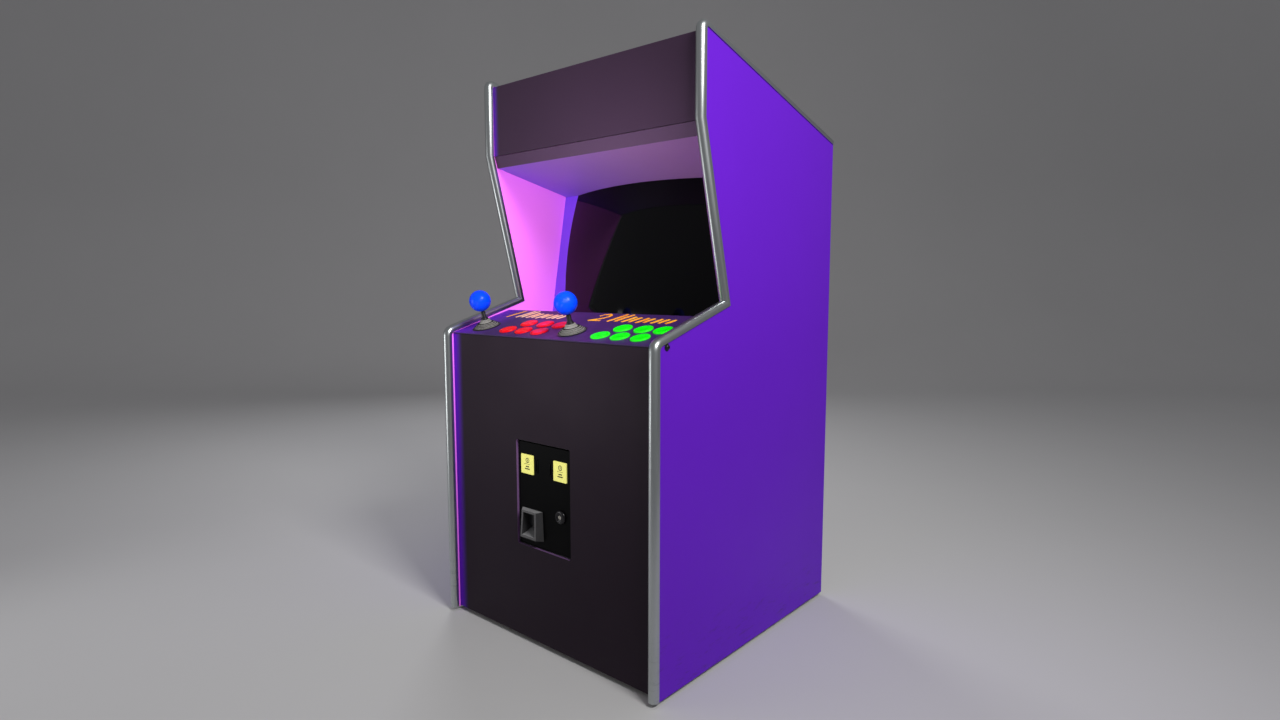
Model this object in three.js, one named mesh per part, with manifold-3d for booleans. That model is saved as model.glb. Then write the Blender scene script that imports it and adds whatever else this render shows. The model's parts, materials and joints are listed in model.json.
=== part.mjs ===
// Two-player upright arcade cabinet, modelled in millimetres with +Z up.
// X runs left to right as seen by the players, +Y runs from the front to the back.
// The origin is on the floor under the middle of the cabinet's bounding box.
import * as THREE from 'three';
import { ConvexGeometry } from 'three/addons/geometries/ConvexGeometry.js';
import { mergeVertices } from 'three/addons/utils/BufferGeometryUtils.js';
import Module from 'manifold-3d';

const wasm = await Module();
wasm.setup();

// Overall size. Heights are measured from the lower edge of the side panels.
const SIDE_HEIGHT = 1650;
const CABINET_DEPTH = 865;
const INNER_HALF_WIDTH = 401;
const SIDE_THICKNESS = 22;
const BACK_TOP_HEIGHT = 1464;
const FOOT_GAP = 10;
const FRONT_OVERHANG = 14;
const REAR_OVERHANG = 4;
const CLEARANCE = 0.3;
const FITTED_HALF_WIDTH = INNER_HALF_WIDTH - CLEARANCE;
const EDGE_GAP = 1;
// How far a cutting tool passes a face, and how far two joined solids lap.
const OVERCUT = 5;
const LAP = 1;

// The side outline's corners as (y, z): armrest, throat, marquee.
const ARMREST_FRONT = [0, 881];
const ARMREST_BACK = [290, 972];
const THROAT_TOP = [175, 1429];
const MARQUEE_TOP = [176, SIDE_HEIGHT];
const TOP_BACK = [CABINET_DEPTH, BACK_TOP_HEIGHT];
const CORNER_RADIUS = 9;

// Edge moulding: a half-round strip with two lips that clip over the board.
const TRIM_RADIUS = 14;
const TRIM_LIP = 5;
const TRIM_STEPS = 4;

// A bolt near the front of each armrest, placed as (y, z); turned profiles are (radius, height).
const BOLT = { place: [33, 876], shank: 4, bore: 4.4 };
const BOLT_HEAD = [[7, 0], [7, 2], [6, 4.4], [3.5, 6], [0, 6.4]];

// Boards.
const BOARD = 18;
const KICK_FRONT = 12;
const KICK_BOTTOM = 4;
const KICK_TOP = 874;
const FLOOR_BOTTOM = 30;
const TOP_INSET = 8;
const GRILLE = { count: 5, front: 470, pitch: 24, slot: 10, half: 60 };

// Levelling feet.
const FOOT_X = { left: -350, right: 350 };
const FOOT_Y = { front: 75, rear: 800 };
const FOOT_STEM = 5;
const FOOT_PAD = [[0, 0], [19, 0], [20, 2], [20, 5], [9, 8], [FOOT_STEM, 9]];

// Marquee: a lit sheet, the retainer under it and the sloping underside board.
const MARQUEE_FRONT = 183;
const MARQUEE_SHEET = 4;
const MARQUEE_BOTTOM = 1427;
const RETAINER_FOOT = [194.8, 1391.2];
const RETAINER_SHEET = [3.3, 0.6];
const RETAINER_HEAD = [1.5, 5];
const UNDERSIDE_FRONT = [198.6, 1391.4];
const UNDERSIDE_BACK = [492.5, 1328.1];
const UNDERSIDE_THICKNESS = 10;
const UNDERSIDE_LEAN = 1.7;
const LAMP = {
  y: 300, half: 300, channelHalf: 20, channelDepth: 22, holderHalf: 16, holderLength: 12,
  drop: 60, tubeRadius: 13, tubeDrop: 43,
};
const SPEAKER_Y = 523;
const SPEAKER = [[0, -46], [28, -46], [28, -30], [34, -28], [66, -5], [76, -5], [76, 0], [64, 0],
  [30, -18], [0, -12]];

// Monitor: the bezel plane leans back from its lower edge.
const BEZEL_FOOT = [425, 938];
const BEZEL_LEAN = THREE.MathUtils.degToRad(9.9);
const BEZEL_SHEET = 4;
const BEZEL_BELOW = 62;
const BEZEL_ABOVE = 458;
const TRAY_FRONT = 238;
const TRAY_BOTTOM = 866;
const TRAY_LIP_TOP = 921;
const TUBE_CENTRE = 205;
const TUBE_HALF_WIDTH = 359;
const TUBE_CURVE_HEIGHT = 572;
const TUBE_HALF_HEIGHT = 240;
const TUBE_BULGE = 57.5;
const TUBE_SKIRT = 34;
const TUBE_WALL = 8;
const TUBE_FUNNEL_HALF = [300, 215];
const TUBE_FUNNEL_DEPTH = 208;
const TUBE_FUNNEL_CURVE = [[0.82, 55], [0.45, 150]];
const TUBE_FUNNEL_END = 0.2;
const TUBE_FUNNEL_LAP = 2;
const TUBE_NECK_RADIUS = 20;
const TUBE_NECK_WALL = 3;
const TUBE_NECK_END = 320;
const MONITOR_RING = { half: [392, 262], front: 6, back: 32, gap: 2 };

// Control panel: a folded steel pan on the armrest slope.
const PANEL_FRONT = [10, 877.5];
const PANEL_SLOPE = THREE.MathUtils.degToRad(16.24);
const PANEL_LENGTH = 227;
const PANEL_HALF_WIDTH = 397.5;
const PANEL_SHEET = 3;
const PANEL_FLANGE = 26;
const PANEL_FLANGE_START = 20;

// Sticks and buttons, placed on the panel as (x, distance from the front edge).
const SIDES = ['left', 'right'];
const STICK_X = { left: -312, right: 62 };
const STICK_S = 64;
const STICK_PIVOT = -2;
const STICK_HOLE_RADIUS = 22;
const HOUSING = { flangeHalf: [56, 40], boxHalf: [45, 33], wall: 3, depth: 40, bore: 18.5 };
const BALL_RADIUS = 32.25;
const BALL_HEIGHT = 82;
const BALL_BORE = { radius: 5.3, depth: 17 };
const BALL_ROWS = 9;
const SHAFT_RADIUS = 6;
const SHAFT_BOTTOM = -36;
const SHAFT_TIP_RADIUS = 5;
const CROSS_PIN = { radius: 2.4, reach: 10.2 };
const DOME_RADIUS = 25.5;
const DOME_STEPS = 2;
const CROWN = { outer: 19.5, inner: 11 };
const BOOT_STEPS = [[24, 0.3], [42.5, 0.3], [42.5, 3], [37, 3.4], [37, 6], [33, 7], [33, 9], [28.5, 10],
  [28.5, 12], [24, 13]];
const BOOT_INSIDE = [[CROWN.inner, 17], [24, 6], [24, 0.3]];
const NECK_RADIUS = 15;
const NECK_BORE = SHAFT_RADIUS + 0.5;
const NECK_FOOT = 25;
const NECK_CAP = [[NECK_RADIUS, 24.4], [10.5, 25.6], [10, 30.5], [NECK_BORE, 32.5], [NECK_BORE, 49]];
const GIMBAL = { inner: 11, outer: 15, half: 3, pinRadius: 1.8, pinReach: 17.8, pinStart: 13 };
const FRONT_ROW = { s: 48, offsets: [121, 190, 258] };
const BACK_ROW = { s: 107, offsets: [149, 220, 285] };
const PLUNGER_RADIUS = 22;
const PLUNGER_TOP = 4.5;
const PLUNGER_BOTTOM = -14;
const PLUNGER_EDGE = [1.6, 1.5];
const BUTTON_HOLE_RADIUS = 23.2;

// Coin door, recessed in an opening of the kick panel.
const COIN_CENTRE_Z = 432;
const COIN_HALF_WIDTH = 110;
const COIN_HALF_HEIGHT = 153;
const COIN_CORNER = 7;
const COIN_FLANGE_HALF = [132, 176];
const COIN_DOOR_FACE = 19;
const COIN_DOOR_HALF_WIDTH = 106;
const COIN_DOOR_HALF_HEIGHT = 149;
const COIN_FRAME_HALF_WIDTH = 107;
const COIN_FRAME_HALF_HEIGHT = 150;
const DOOR_SHEET = 2.5;
const DOOR_FOLD = { thickness: 2, depth: 14 };
const REJECT_X = { left: -69, right: 66 };
const REJECT_Z = 84.5;
const REJECT_HALF = [25.7, 27.7];
const REJECT_CORNER = 2;
const REJECT_FRONT = -3;
const REJECT_BACK = 12;
const SLOT_X = { left: -31, right: 28 };
const SLOT_HALF = [1.7, 15];
const MECH = { half: 11, front: 4, back: 88, bottom: -56, top: 50 };
const COIN_LOCK = { x: 66, z: -42, radius: 19.2, barrel: 11.6, bore: 12, depth: 22 };
const COIN_LOCK_HEAD = [[COIN_LOCK.radius, CLEARANCE], [COIN_LOCK.radius, 4], [17, 7], [11, 7], [10.4, 5.6],
  [0, 5.6]];
const COIN_CAM = { half: 6, front: 15.6, back: 18.6, bottom: -50, top: 4 };
const COIN_KEYWAY = [1.2, 4.5];

// Coin return, about (x, z) on the door: the surround's base and front as (height, half-width) edges.
const CUP = { x: -51, z: -85 };
const CUP_BASE = [[-128, 46], [-44, 42]];
const CUP_FRONT = [{ z: -125, half: 33, y: -19 }, { z: -46, half: 30, y: -15 }];
const CUP_MOUTH = [{ z: -118, half: 26.5 }, { z: -51, half: 22.5 }];
const CUP_POCKET = { half: 34, below: 34, above: 36, depth: 46 };
const CUP_ROOM = { half: [26, 28], depth: 42 };
const CUP_INLET = { half: 22, front: 14 };
const CUP_RAMP = { below: 28.5, rise: 20.5 };
const FLAP = { halfWidth: 24.5, halfThickness: 0.8, length: 34, pin: 1.8, y: 4, z: 25.5 };

// Rear door and its lock.
const REAR_DOOR = { halfWidth: 280, bottom: 500, top: 1250, thickness: 16 };
const VENTS = { count: 6, bottom: 1080, pitch: 24, slot: 9, half: 160 };
const REAR_LOCK = { x: 240, z: 875, radius: 14, barrel: 8.6, bore: 9, depth: 24 };
const REAR_CAM = { half: 7, thickness: 4, bottom: -62, top: 6 };
const REAR_KEYWAY = [1, 4];

// Inside: the coin box, the game board, the power supply and the mains inlet.
const COIN_BOX = { half: 120, front: 120, back: 400, height: 180, wall: 4 };
const GAME_BOARD = { face: 6, back: 8.4, front: 300, end: 620, bottom: 250, top: 530, inset: 12 };
const STAND_OFF = { radius: 4, length: 7 };
const CHIPS = { rows: 3, columns: 4, first: [330, 290], pitch: [70, 80], size: [44, 20], face: 13 };
const SUPPLY = { place: [250, 650], half: [80, 55], height: 52 };
const SUPPLY_TERMINALS = { half: 60, reach: 70, bottom: 6, top: 20 };
const INLET = {
  x: 250, z: 120, flange: [25, 16], face: 3, body: [13.5, 10.5], hole: [14, 11], depth: 26,
  socket: [11.5, 7.5], socketDepth: 16,
};

const COLOURS = {
  laminate: [0x6a1ed2, 0.35, 0],
  chrome: [0xc8cccc, 0.25, 1],
  black: [0x241826, 0.5, 0],
  mauve: [0x3c2a3c, 0.4, 0],
  panelPurple: [0x3c235a, 0.4, 0],
  blackSteel: [0x0a0a0c, 0.35, 0.6],
  glass: [0x050506, 0.05, 0],
  blueBall: [0x0a50ff, 0.2, 0],
  red: [0xe60014, 0.3, 0],
  green: [0x0fff00, 0.3, 0],
  yellow: [0xfafa82, 0.4, 0],
  rubber: [0x77756f, 0.8, 0],
  gunmetal: [0x5c5c5e, 0.4, 0.9],
  zinc: [0xb0b2b4, 0.4, 1],
  plywood: [0xb58a56, 0.8, 0],
  board: [0x135c2c, 0.5, 0],
};

// ---------------------------------------------------------------- helpers

function makeMesh(name, geometry, colour) {
  const [color, roughness, metalness] = COLOURS[colour];
  const mesh = new THREE.Mesh(geometry, new THREE.MeshStandardMaterial({ color, roughness, metalness }));
  mesh.name = name;
  return mesh;
}

// A closed geometry becomes a manifold solid once its shared vertices are merged.
function solid(geometry) {
  const bare = geometry.clone();
  bare.deleteAttribute('normal');
  bare.deleteAttribute('uv');
  const merged = mergeVertices(bare, 1e-4);
  const index = merged.index.array;
  const kept = [];
  for (let i = 0; i < index.length; i += 3) {
    const [a, b, c] = [index[i], index[i + 1], index[i + 2]];
    if (a !== b && b !== c && c !== a) kept.push(a, b, c);
  }
  return new wasm.Manifold(new wasm.Mesh({
    numProp: 3,
    vertProperties: new Float32Array(merged.attributes.position.array),
    triVerts: new Uint32Array(kept),
  }));
}

function geometryOf(manifold) {
  const mesh = manifold.getMesh();
  const geometry = new THREE.BufferGeometry();
  geometry.setAttribute('position', new THREE.BufferAttribute(new Float32Array(mesh.vertProperties), 3));
  geometry.setIndex(new THREE.BufferAttribute(new Uint32Array(mesh.triVerts), 1));
  geometry.computeVertexNormals();
  return geometry;
}

function join(...geometries) {
  return geometryOf(geometries.map(solid).reduce((sum, next) => sum.add(next)));
}

function cut(geometry, ...tools) {
  return geometryOf(tools.map(solid).reduce((rest, tool) => rest.subtract(tool), solid(geometry)));
}

function common(geometry, other) {
  return geometryOf(solid(geometry).intersect(solid(other)));
}

// A box given by its extents on each axis.
function box([x0, x1], [y0, y1], [z0, z1]) {
  const geometry = new THREE.BoxGeometry(x1 - x0, y1 - y0, z1 - z0);
  return geometry.translate((x0 + x1) / 2, (y0 + y1) / 2, (z0 + z1) / 2);
}

// A turned piece on the Z axis from (radius, height) points.
function turned(points, segments) {
  const profile = points.map(([r, z]) => new THREE.Vector2(r, z));
  return new THREE.LatheGeometry(profile, segments).rotateX(Math.PI / 2);
}

// A plain round bar along Z between two heights.
function bar(radius, z0, z1, segments) {
  return turned([[0, z0], [radius, z0], [radius, z1], [0, z1]], segments);
}

// The same bar laid along X or along Y.
function barAlongX(radius, x0, x1, segments) {
  return bar(radius, x0, x1, segments).rotateY(Math.PI / 2);
}

function barAlongY(radius, y0, y1, segments) {
  return bar(radius, -y1, -y0, segments).rotateX(Math.PI / 2);
}

function shapeOf(points) {
  return new THREE.Shape(points.map(([u, v]) => new THREE.Vector2(u, v)));
}

// Lays a shape drawn in (y, z) across X, centred on x = 0.
function layAcross(geometry, width) {
  geometry.translate(0, 0, -width / 2);
  const axes = new THREE.Matrix4().makeBasis(
    new THREE.Vector3(0, 1, 0), new THREE.Vector3(0, 0, 1), new THREE.Vector3(1, 0, 0));
  return geometry.applyMatrix4(axes);
}

// An outline in (y, z), extruded along X and centred on x = 0.
function sideExtrusion(points, width) {
  return layAcross(new THREE.ExtrudeGeometry(shapeOf(points), { depth: width, bevelEnabled: false }), width);
}

// An outline in (x, z) whose front face is at y0 and whose back face is at y1.
function frontExtrusion(shape, y0, y1, curveSegments = 6) {
  const settings = { depth: y1 - y0, bevelEnabled: false, curveSegments };
  return new THREE.ExtrudeGeometry(shape, settings).rotateX(Math.PI / 2).translate(0, y1, 0);
}

function roundedRectangle(halfWidth, halfHeight, radius) {
  const shape = new THREE.Shape();
  const [w, h, r] = [halfWidth, halfHeight, radius];
  shape.moveTo(-w + r, -h);
  shape.lineTo(w - r, -h);
  shape.absarc(w - r, -h + r, r, -Math.PI / 2, 0);
  shape.lineTo(w, h - r);
  shape.absarc(w - r, h - r, r, 0, Math.PI / 2);
  shape.lineTo(-w + r, h);
  shape.absarc(-w + r, h - r, r, Math.PI / 2, Math.PI);
  shape.lineTo(-w, -h + r);
  shape.absarc(-w + r, -h + r, r, Math.PI, 1.5 * Math.PI);
  return shape;
}

// A path of (y, z) points moved sideways by a distance, to its left when positive.
function offsetPath(points, distance) {
  return points.map((point, i) => {
    const before = i > 0 ? direction(points[i - 1], point) : direction(point, points[i + 1]);
    const after = i < points.length - 1 ? direction(point, points[i + 1]) : before;
    const mid = [before[0] + after[0], before[1] + after[1]];
    const length = Math.hypot(...mid);
    const cosHalf = length / 2;
    const scale = distance / (cosHalf * length);
    return [point[0] - mid[1] * scale, point[1] + mid[0] * scale];
  });
}

function direction([y0, z0], [y1, z1]) {
  const length = Math.hypot(y1 - y0, z1 - z0);
  return [(y1 - y0) / length, (z1 - z0) / length];
}

// Rounds one corner of a path with a short arc of chords.
function roundedCorner(previous, corner, next, radius) {
  const back = direction(corner, previous);
  const ahead = direction(corner, next);
  const steps = 3;
  return Array.from({ length: steps + 1 }, (_, i) => {
    const t = i / steps;
    const a = (1 - t) ** 2 * radius;
    const b = t ** 2 * radius;
    return [corner[0] + back[0] * a + ahead[0] * b, corner[1] + back[1] * a + ahead[1] * b];
  });
}

// ---------------------------------------------------------------- side panels and trim

// The trimmed edge from the front foot, over the armrest and the marquee, to the back.
function trimPath(bottom, back) {
  return [
    [0, bottom],
    ...roundedCorner([0, 0], ARMREST_FRONT, ARMREST_BACK, CORNER_RADIUS),
    ARMREST_BACK,
    THROAT_TOP,
    ...roundedCorner(THROAT_TOP, MARQUEE_TOP, TOP_BACK, CORNER_RADIUS),
    back,
  ];
}

// The same edge with sharp corners, moved in by the depth of the moulding's lips.
function lipPath(bottom, back) {
  return offsetPath([[0, bottom], ARMREST_FRONT, ARMREST_BACK, THROAT_TOP, MARQUEE_TOP, back], -TRIM_LIP);
}

function sidePanel() {
  const edge = offsetPath(trimPath(0, TOP_BACK), -CLEARANCE);
  const board = [...edge, [CABINET_DEPTH, BACK_TOP_HEIGHT - CLEARANCE], [CABINET_DEPTH, 0]];
  board.splice(edge.length - 1, 1);
  return sideExtrusion(board.reverse(), SIDE_THICKNESS);
}

// A half-round bead around a strip, hollowed where it clips over the board's edge.
function edgeTrim() {
  const slope = direction(MARQUEE_TOP, TOP_BACK);
  const end = [TOP_BACK[0] - slope[0] * TRIM_RADIUS, TOP_BACK[1] - slope[1] * TRIM_RADIUS];
  const path = trimPath(TRIM_RADIUS, end);
  const strip = [...path, ...lipPath(TRIM_RADIUS, end).reverse()];
  const settings = {
    depth: CLEARANCE,
    bevelThickness: TRIM_RADIUS,
    bevelSize: TRIM_RADIUS,
    bevelSegments: TRIM_STEPS,
  };
  const bead = layAcross(new THREE.ExtrudeGeometry(shapeOf(strip.reverse()), settings), CLEARANCE);
  const below = -TRIM_RADIUS * 2;
  const corner = [CABINET_DEPTH, below];
  const inside = sideExtrusion([...lipPath(below, TOP_BACK), corner].reverse(), TRIM_RADIUS * 3);
  const seat = trimPath(below, TOP_BACK);
  const groove = sideExtrusion([...seat, corner].reverse(), SIDE_THICKNESS + CLEARANCE * 2);
  return cut(bead, inside, groove);
}

// A round-headed bolt through the side panel, turned on the Z axis with its head up.
function panelBolt() {
  const shank = [[0, -SIDE_THICKNESS], [BOLT.shank, -SIDE_THICKNESS], [BOLT.shank, 0]];
  return turned([...shank, ...BOLT_HEAD], 16);
}

function addSides(cabinet) {
  const middle = INNER_HALF_WIDTH + SIDE_THICKNESS / 2;
  for (const side of SIDES) {
    const sign = side === 'left' ? -1 : 1;
    const bore = barAlongX(BOLT.bore, -SIDE_THICKNESS, SIDE_THICKNESS, 16).translate(0, ...BOLT.place);
    const panel = makeMesh(`${side}_side_panel`, cut(sidePanel(), bore), 'laminate');
    const trim = makeMesh(`${side}_edge_trim`, edgeTrim(), 'chrome');
    panel.position.x = sign * middle;
    trim.position.x = sign * middle;
    const bolt = makeMesh(`${side}_panel_bolt`, panelBolt(), 'blackSteel');
    bolt.position.set(sign * (INNER_HALF_WIDTH + SIDE_THICKNESS + CLEARANCE), ...BOLT.place);
    bolt.rotation.y = sign * Math.PI / 2;
    cabinet.add(panel, trim, bolt);
  }
}

// ---------------------------------------------------------------- boards

// Height of the top panel's upper face at a distance from the front.
function topHeight(y) {
  const slope = (BACK_TOP_HEIGHT - SIDE_HEIGHT) / (CABINET_DEPTH - MARQUEE_TOP[0]);
  return SIDE_HEIGHT + (y - MARQUEE_TOP[0]) * slope - TOP_INSET;
}

function kickPanel() {
  const centre = (KICK_TOP + KICK_BOTTOM) / 2;
  const board = box([-FITTED_HALF_WIDTH, FITTED_HALF_WIDTH], [KICK_FRONT, KICK_FRONT + BOARD],
    [KICK_BOTTOM, KICK_TOP]);
  const opening = roundedRectangle(COIN_HALF_WIDTH, COIN_HALF_HEIGHT, COIN_CORNER);
  const hole = frontExtrusion(opening, KICK_FRONT - BOARD, KICK_FRONT + 2 * BOARD);
  hole.translate(0, 0, COIN_CENTRE_Z);
  return cut(board, hole).translate(0, 0, -centre);
}

function topPanel() {
  const front = MARQUEE_FRONT + MARQUEE_SHEET + 2 * CLEARANCE;
  const back = CABINET_DEPTH - EDGE_GAP;
  const outline = [
    [front, topHeight(front) - BOARD], [back, topHeight(back) - BOARD],
    [back, topHeight(back)], [front, topHeight(front)],
  ];
  const slots = [];
  for (let i = 0; i < GRILLE.count; i += 1) {
    const y = GRILLE.front + i * GRILLE.pitch;
    slots.push(box([-GRILLE.half, GRILLE.half], [y, y + GRILLE.slot],
      [topHeight(y) - 2 * BOARD, topHeight(y) + BOARD]));
  }
  return cut(sideExtrusion(outline, 2 * FITTED_HALF_WIDTH), ...slots);
}

function backPanel() {
  const front = CABINET_DEPTH - BOARD;
  const top = topHeight(CABINET_DEPTH) - BOARD - EDGE_GAP;
  const board = box([-FITTED_HALF_WIDTH, FITTED_HALF_WIDTH], [front, CABINET_DEPTH], [KICK_BOTTOM, top]);
  const through = [front - OVERCUT, CABINET_DEPTH + OVERCUT];
  const doorway = box([-REAR_DOOR.halfWidth, REAR_DOOR.halfWidth], through,
    [REAR_DOOR.bottom, REAR_DOOR.top]);
  const [w, h] = INLET.hole;
  return cut(board, doorway, box([INLET.x - w, INLET.x + w], through, [INLET.z - h, INLET.z + h]));
}

function addBoards(cabinet) {
  const kick = makeMesh('kick_panel', kickPanel(), 'black');
  kick.position.z = (KICK_TOP + KICK_BOTTOM) / 2;
  const floor = box([-FITTED_HALF_WIDTH, FITTED_HALF_WIDTH],
    [KICK_FRONT + BOARD + CLEARANCE, CABINET_DEPTH - BOARD - CLEARANCE],
    [FLOOR_BOTTOM, FLOOR_BOTTOM + BOARD]);
  cabinet.add(
    kick,
    makeMesh('bottom_panel', floor, 'plywood'),
    makeMesh('back_panel', backPanel(), 'black'),
    makeMesh('top_panel', topPanel(), 'black'),
  );
}

// A levelling foot: a round pad on a stem under the floor board.
function foot() {
  const stemTop = FLOOR_BOTTOM + FOOT_GAP - CLEARANCE;
  return turned([...FOOT_PAD, [FOOT_STEM, stemTop], [0, stemTop]], 14);
}

function addFeet(cabinet) {
  for (const row of ['front', 'rear']) {
    for (const side of SIDES) {
      const mesh = makeMesh(`${row}_${side}_foot`, foot(), 'zinc');
      mesh.position.set(FOOT_X[side], FOOT_Y[row], -FOOT_GAP);
      cabinet.add(mesh);
    }
  }
}

// ---------------------------------------------------------------- marquee

function undersideBoard() {
  const [[frontY, frontZ], [backY, backZ]] = [UNDERSIDE_FRONT, UNDERSIDE_BACK];
  const outline = [
    UNDERSIDE_FRONT, UNDERSIDE_BACK,
    [backY + UNDERSIDE_LEAN, backZ + UNDERSIDE_THICKNESS], [frontY, frontZ + UNDERSIDE_THICKNESS],
  ];
  const gap = 2;
  const glass = tubeFace(TUBE_HALF_WIDTH + gap, TUBE_CURVE_HEIGHT + gap, TUBE_BULGE + gap);
  glass.translate(0, 0, TUBE_CENTRE).rotateX(-BEZEL_LEAN).translate(0, ...BEZEL_FOOT);
  return cut(sideExtrusion(outline, 2 * FITTED_HALF_WIDTH), glass);
}

// A lamp fitting: a channel with two end holders and one glass tube, as one piece.
function marqueeLamp() {
  const { half, channelHalf, channelDepth, holderHalf, holderLength, drop, tubeRadius, tubeDrop } = LAMP;
  const holder = [[-holderHalf, holderHalf], [-drop, LAP - channelDepth]];
  const tubeEnd = half - holderLength / 2;
  return join(
    box([-half, half], [-channelHalf, channelHalf], [-channelDepth, 0]),
    box([-half, holderLength - half], ...holder),
    box([half - holderLength, half], ...holder),
    barAlongX(tubeRadius, -tubeEnd, tubeEnd, 14).translate(0, 0, -tubeDrop),
  );
}

// A loudspeaker: basket, cone dish and magnet, turned on its axis.
function speaker() {
  return turned(SPEAKER, 16);
}

function addMarquee(cabinet) {
  const sheet = box([-FITTED_HALF_WIDTH, FITTED_HALF_WIDTH],
    [MARQUEE_FRONT, MARQUEE_FRONT + MARQUEE_SHEET],
    [MARQUEE_BOTTOM, topHeight(MARQUEE_FRONT + MARQUEE_SHEET)]);
  const [footY, footZ] = RETAINER_FOOT;
  const [headFront, headBack] = RETAINER_HEAD.map((step) => MARQUEE_FRONT + step);
  const headZ = MARQUEE_BOTTOM - EDGE_GAP;
  const strip = [[footY, footZ], [footY + RETAINER_SHEET[0], footZ + RETAINER_SHEET[1]],
    [headBack, headZ], [headFront, headZ]];
  const tilt = Math.atan2(BACK_TOP_HEIGHT - SIDE_HEIGHT, CABINET_DEPTH - MARQUEE_TOP[0]);
  const under = BOARD / Math.cos(tilt) + CLEARANCE;
  const lamp = makeMesh('marquee_lamp', marqueeLamp(), 'zinc');
  lamp.position.set(0, LAMP.y, topHeight(LAMP.y) - under);
  lamp.rotation.x = tilt;
  const horn = makeMesh('speaker', speaker(), 'blackSteel');
  horn.position.set(0, SPEAKER_Y, topHeight(SPEAKER_Y) - under);
  horn.rotation.x = tilt;
  cabinet.add(
    makeMesh('marquee_panel', sheet, 'mauve'),
    makeMesh('marquee_retainer', sideExtrusion(strip, 2 * FITTED_HALF_WIDTH), 'mauve'),
    makeMesh('marquee_underside', undersideBoard(), 'mauve'),
    lamp,
    horn,
  );
}

// ---------------------------------------------------------------- monitor

// The bulging glass: an elliptical paraboloid with a straight skirt, its pole towards -Y.
function tubeFace(halfWidth, curveHeight, bulge) {
  const rings = 6;
  const points = [[0, -TUBE_SKIRT], [1, -TUBE_SKIRT], [1, 0]];
  for (let i = 1; i <= rings; i += 1) {
    const r = 1 - i / rings;
    points.push([r, bulge * (1 - r * r)]);
  }
  return turned(points, 40).rotateX(Math.PI / 2).scale(halfWidth, 1, curveHeight);
}

// The face between its flat top and bottom, shrunk on every side by a wall's thickness.
function tubeGlass(wall) {
  const [halfWidth, halfHeight] = [TUBE_HALF_WIDTH - wall, TUBE_HALF_HEIGHT - wall];
  const face = tubeFace(halfWidth, TUBE_CURVE_HEIGHT - wall, TUBE_BULGE - wall);
  const window = box([-TUBE_HALF_WIDTH, TUBE_HALF_WIDTH], [-2 * TUBE_BULGE, TUBE_SKIRT - wall],
    [-halfHeight, halfHeight]);
  return common(face, window);
}

// The funnel behind the face, with its wide end up to a lap inside the skirt.
function tubeFunnel(wall, lap) {
  const end = TUBE_FUNNEL_DEPTH - wall;
  const profile = [[0, -lap], [1, -lap], ...TUBE_FUNNEL_CURVE, [TUBE_FUNNEL_END, end], [0, end]];
  const funnel = turned(profile, 20).rotateX(-Math.PI / 2);
  return funnel.scale(TUBE_FUNNEL_HALF[0] - wall, 1, TUBE_FUNNEL_HALF[1] - wall).translate(0, TUBE_SKIRT, 0);
}

// The picture tube, in the bezel's own axes: a hollow glass envelope that is open at its neck's end.
function pictureTube() {
  const start = TUBE_SKIRT + TUBE_FUNNEL_DEPTH - TUBE_WALL;
  const neck = barAlongY(TUBE_NECK_RADIUS, start, TUBE_NECK_END, 12);
  const bore = barAlongY(TUBE_NECK_RADIUS - TUBE_NECK_WALL, start - 2 * OVERCUT, TUBE_NECK_END + OVERCUT, 12);
  const outside = join(tubeGlass(0), tubeFunnel(0, TUBE_FUNNEL_LAP), neck);
  const room = tubeFunnel(TUBE_WALL, TUBE_WALL + TUBE_FUNNEL_LAP);
  return cut(outside, join(tubeGlass(TUBE_WALL), room, bore));
}

// The bezel sheet folds at its foot into a tray that closes the well behind the panel.
function bezel() {
  const [footY, footZ] = BEZEL_FOOT;
  const along = (s, d) => [
    footY + s * Math.sin(BEZEL_LEAN) + d * Math.cos(BEZEL_LEAN),
    footZ + s * Math.cos(BEZEL_LEAN) - d * Math.sin(BEZEL_LEAN),
  ];
  const bend = along(-BEZEL_BELOW, 0);
  const outerBend = along(-BEZEL_BELOW, BEZEL_SHEET);
  const outline = [
    along(BEZEL_ABOVE, 0), bend, [TRAY_FRONT + BEZEL_SHEET, TRAY_BOTTOM + BEZEL_SHEET],
    [TRAY_FRONT + BEZEL_SHEET, TRAY_LIP_TOP], [TRAY_FRONT, TRAY_LIP_TOP], [TRAY_FRONT, TRAY_BOTTOM],
    [outerBend[0] + EDGE_GAP, outerBend[1] - BEZEL_SHEET], along(BEZEL_ABOVE, BEZEL_SHEET),
  ];
  const sheet = sideExtrusion(outline, 2 * FITTED_HALF_WIDTH);
  const gap = 1.5;
  const reach = TUBE_HALF_HEIGHT + gap;
  const window = box([-TUBE_HALF_WIDTH - gap, TUBE_HALF_WIDTH + gap], [-80, 30], [-reach, reach]);
  const opening = common(tubeFace(TUBE_HALF_WIDTH + gap, TUBE_CURVE_HEIGHT + gap, TUBE_BULGE), window);
  opening.translate(0, 0, TUBE_CENTRE).rotateX(-BEZEL_LEAN).translate(0, footY, footZ);
  return cut(sheet, opening);
}

// A welded ring behind the bezel that carries the tube by its skirt.
function monitorFrame() {
  const { half: [w, h], front, back, gap } = MONITOR_RING;
  const [innerW, innerH] = [TUBE_HALF_WIDTH + gap, TUBE_HALF_HEIGHT + gap];
  const opening = box([-innerW, innerW], [front - OVERCUT, back + OVERCUT], [-innerH, innerH]);
  return cut(box([-w, w], [front, back], [-h, h]), opening);
}

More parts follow.
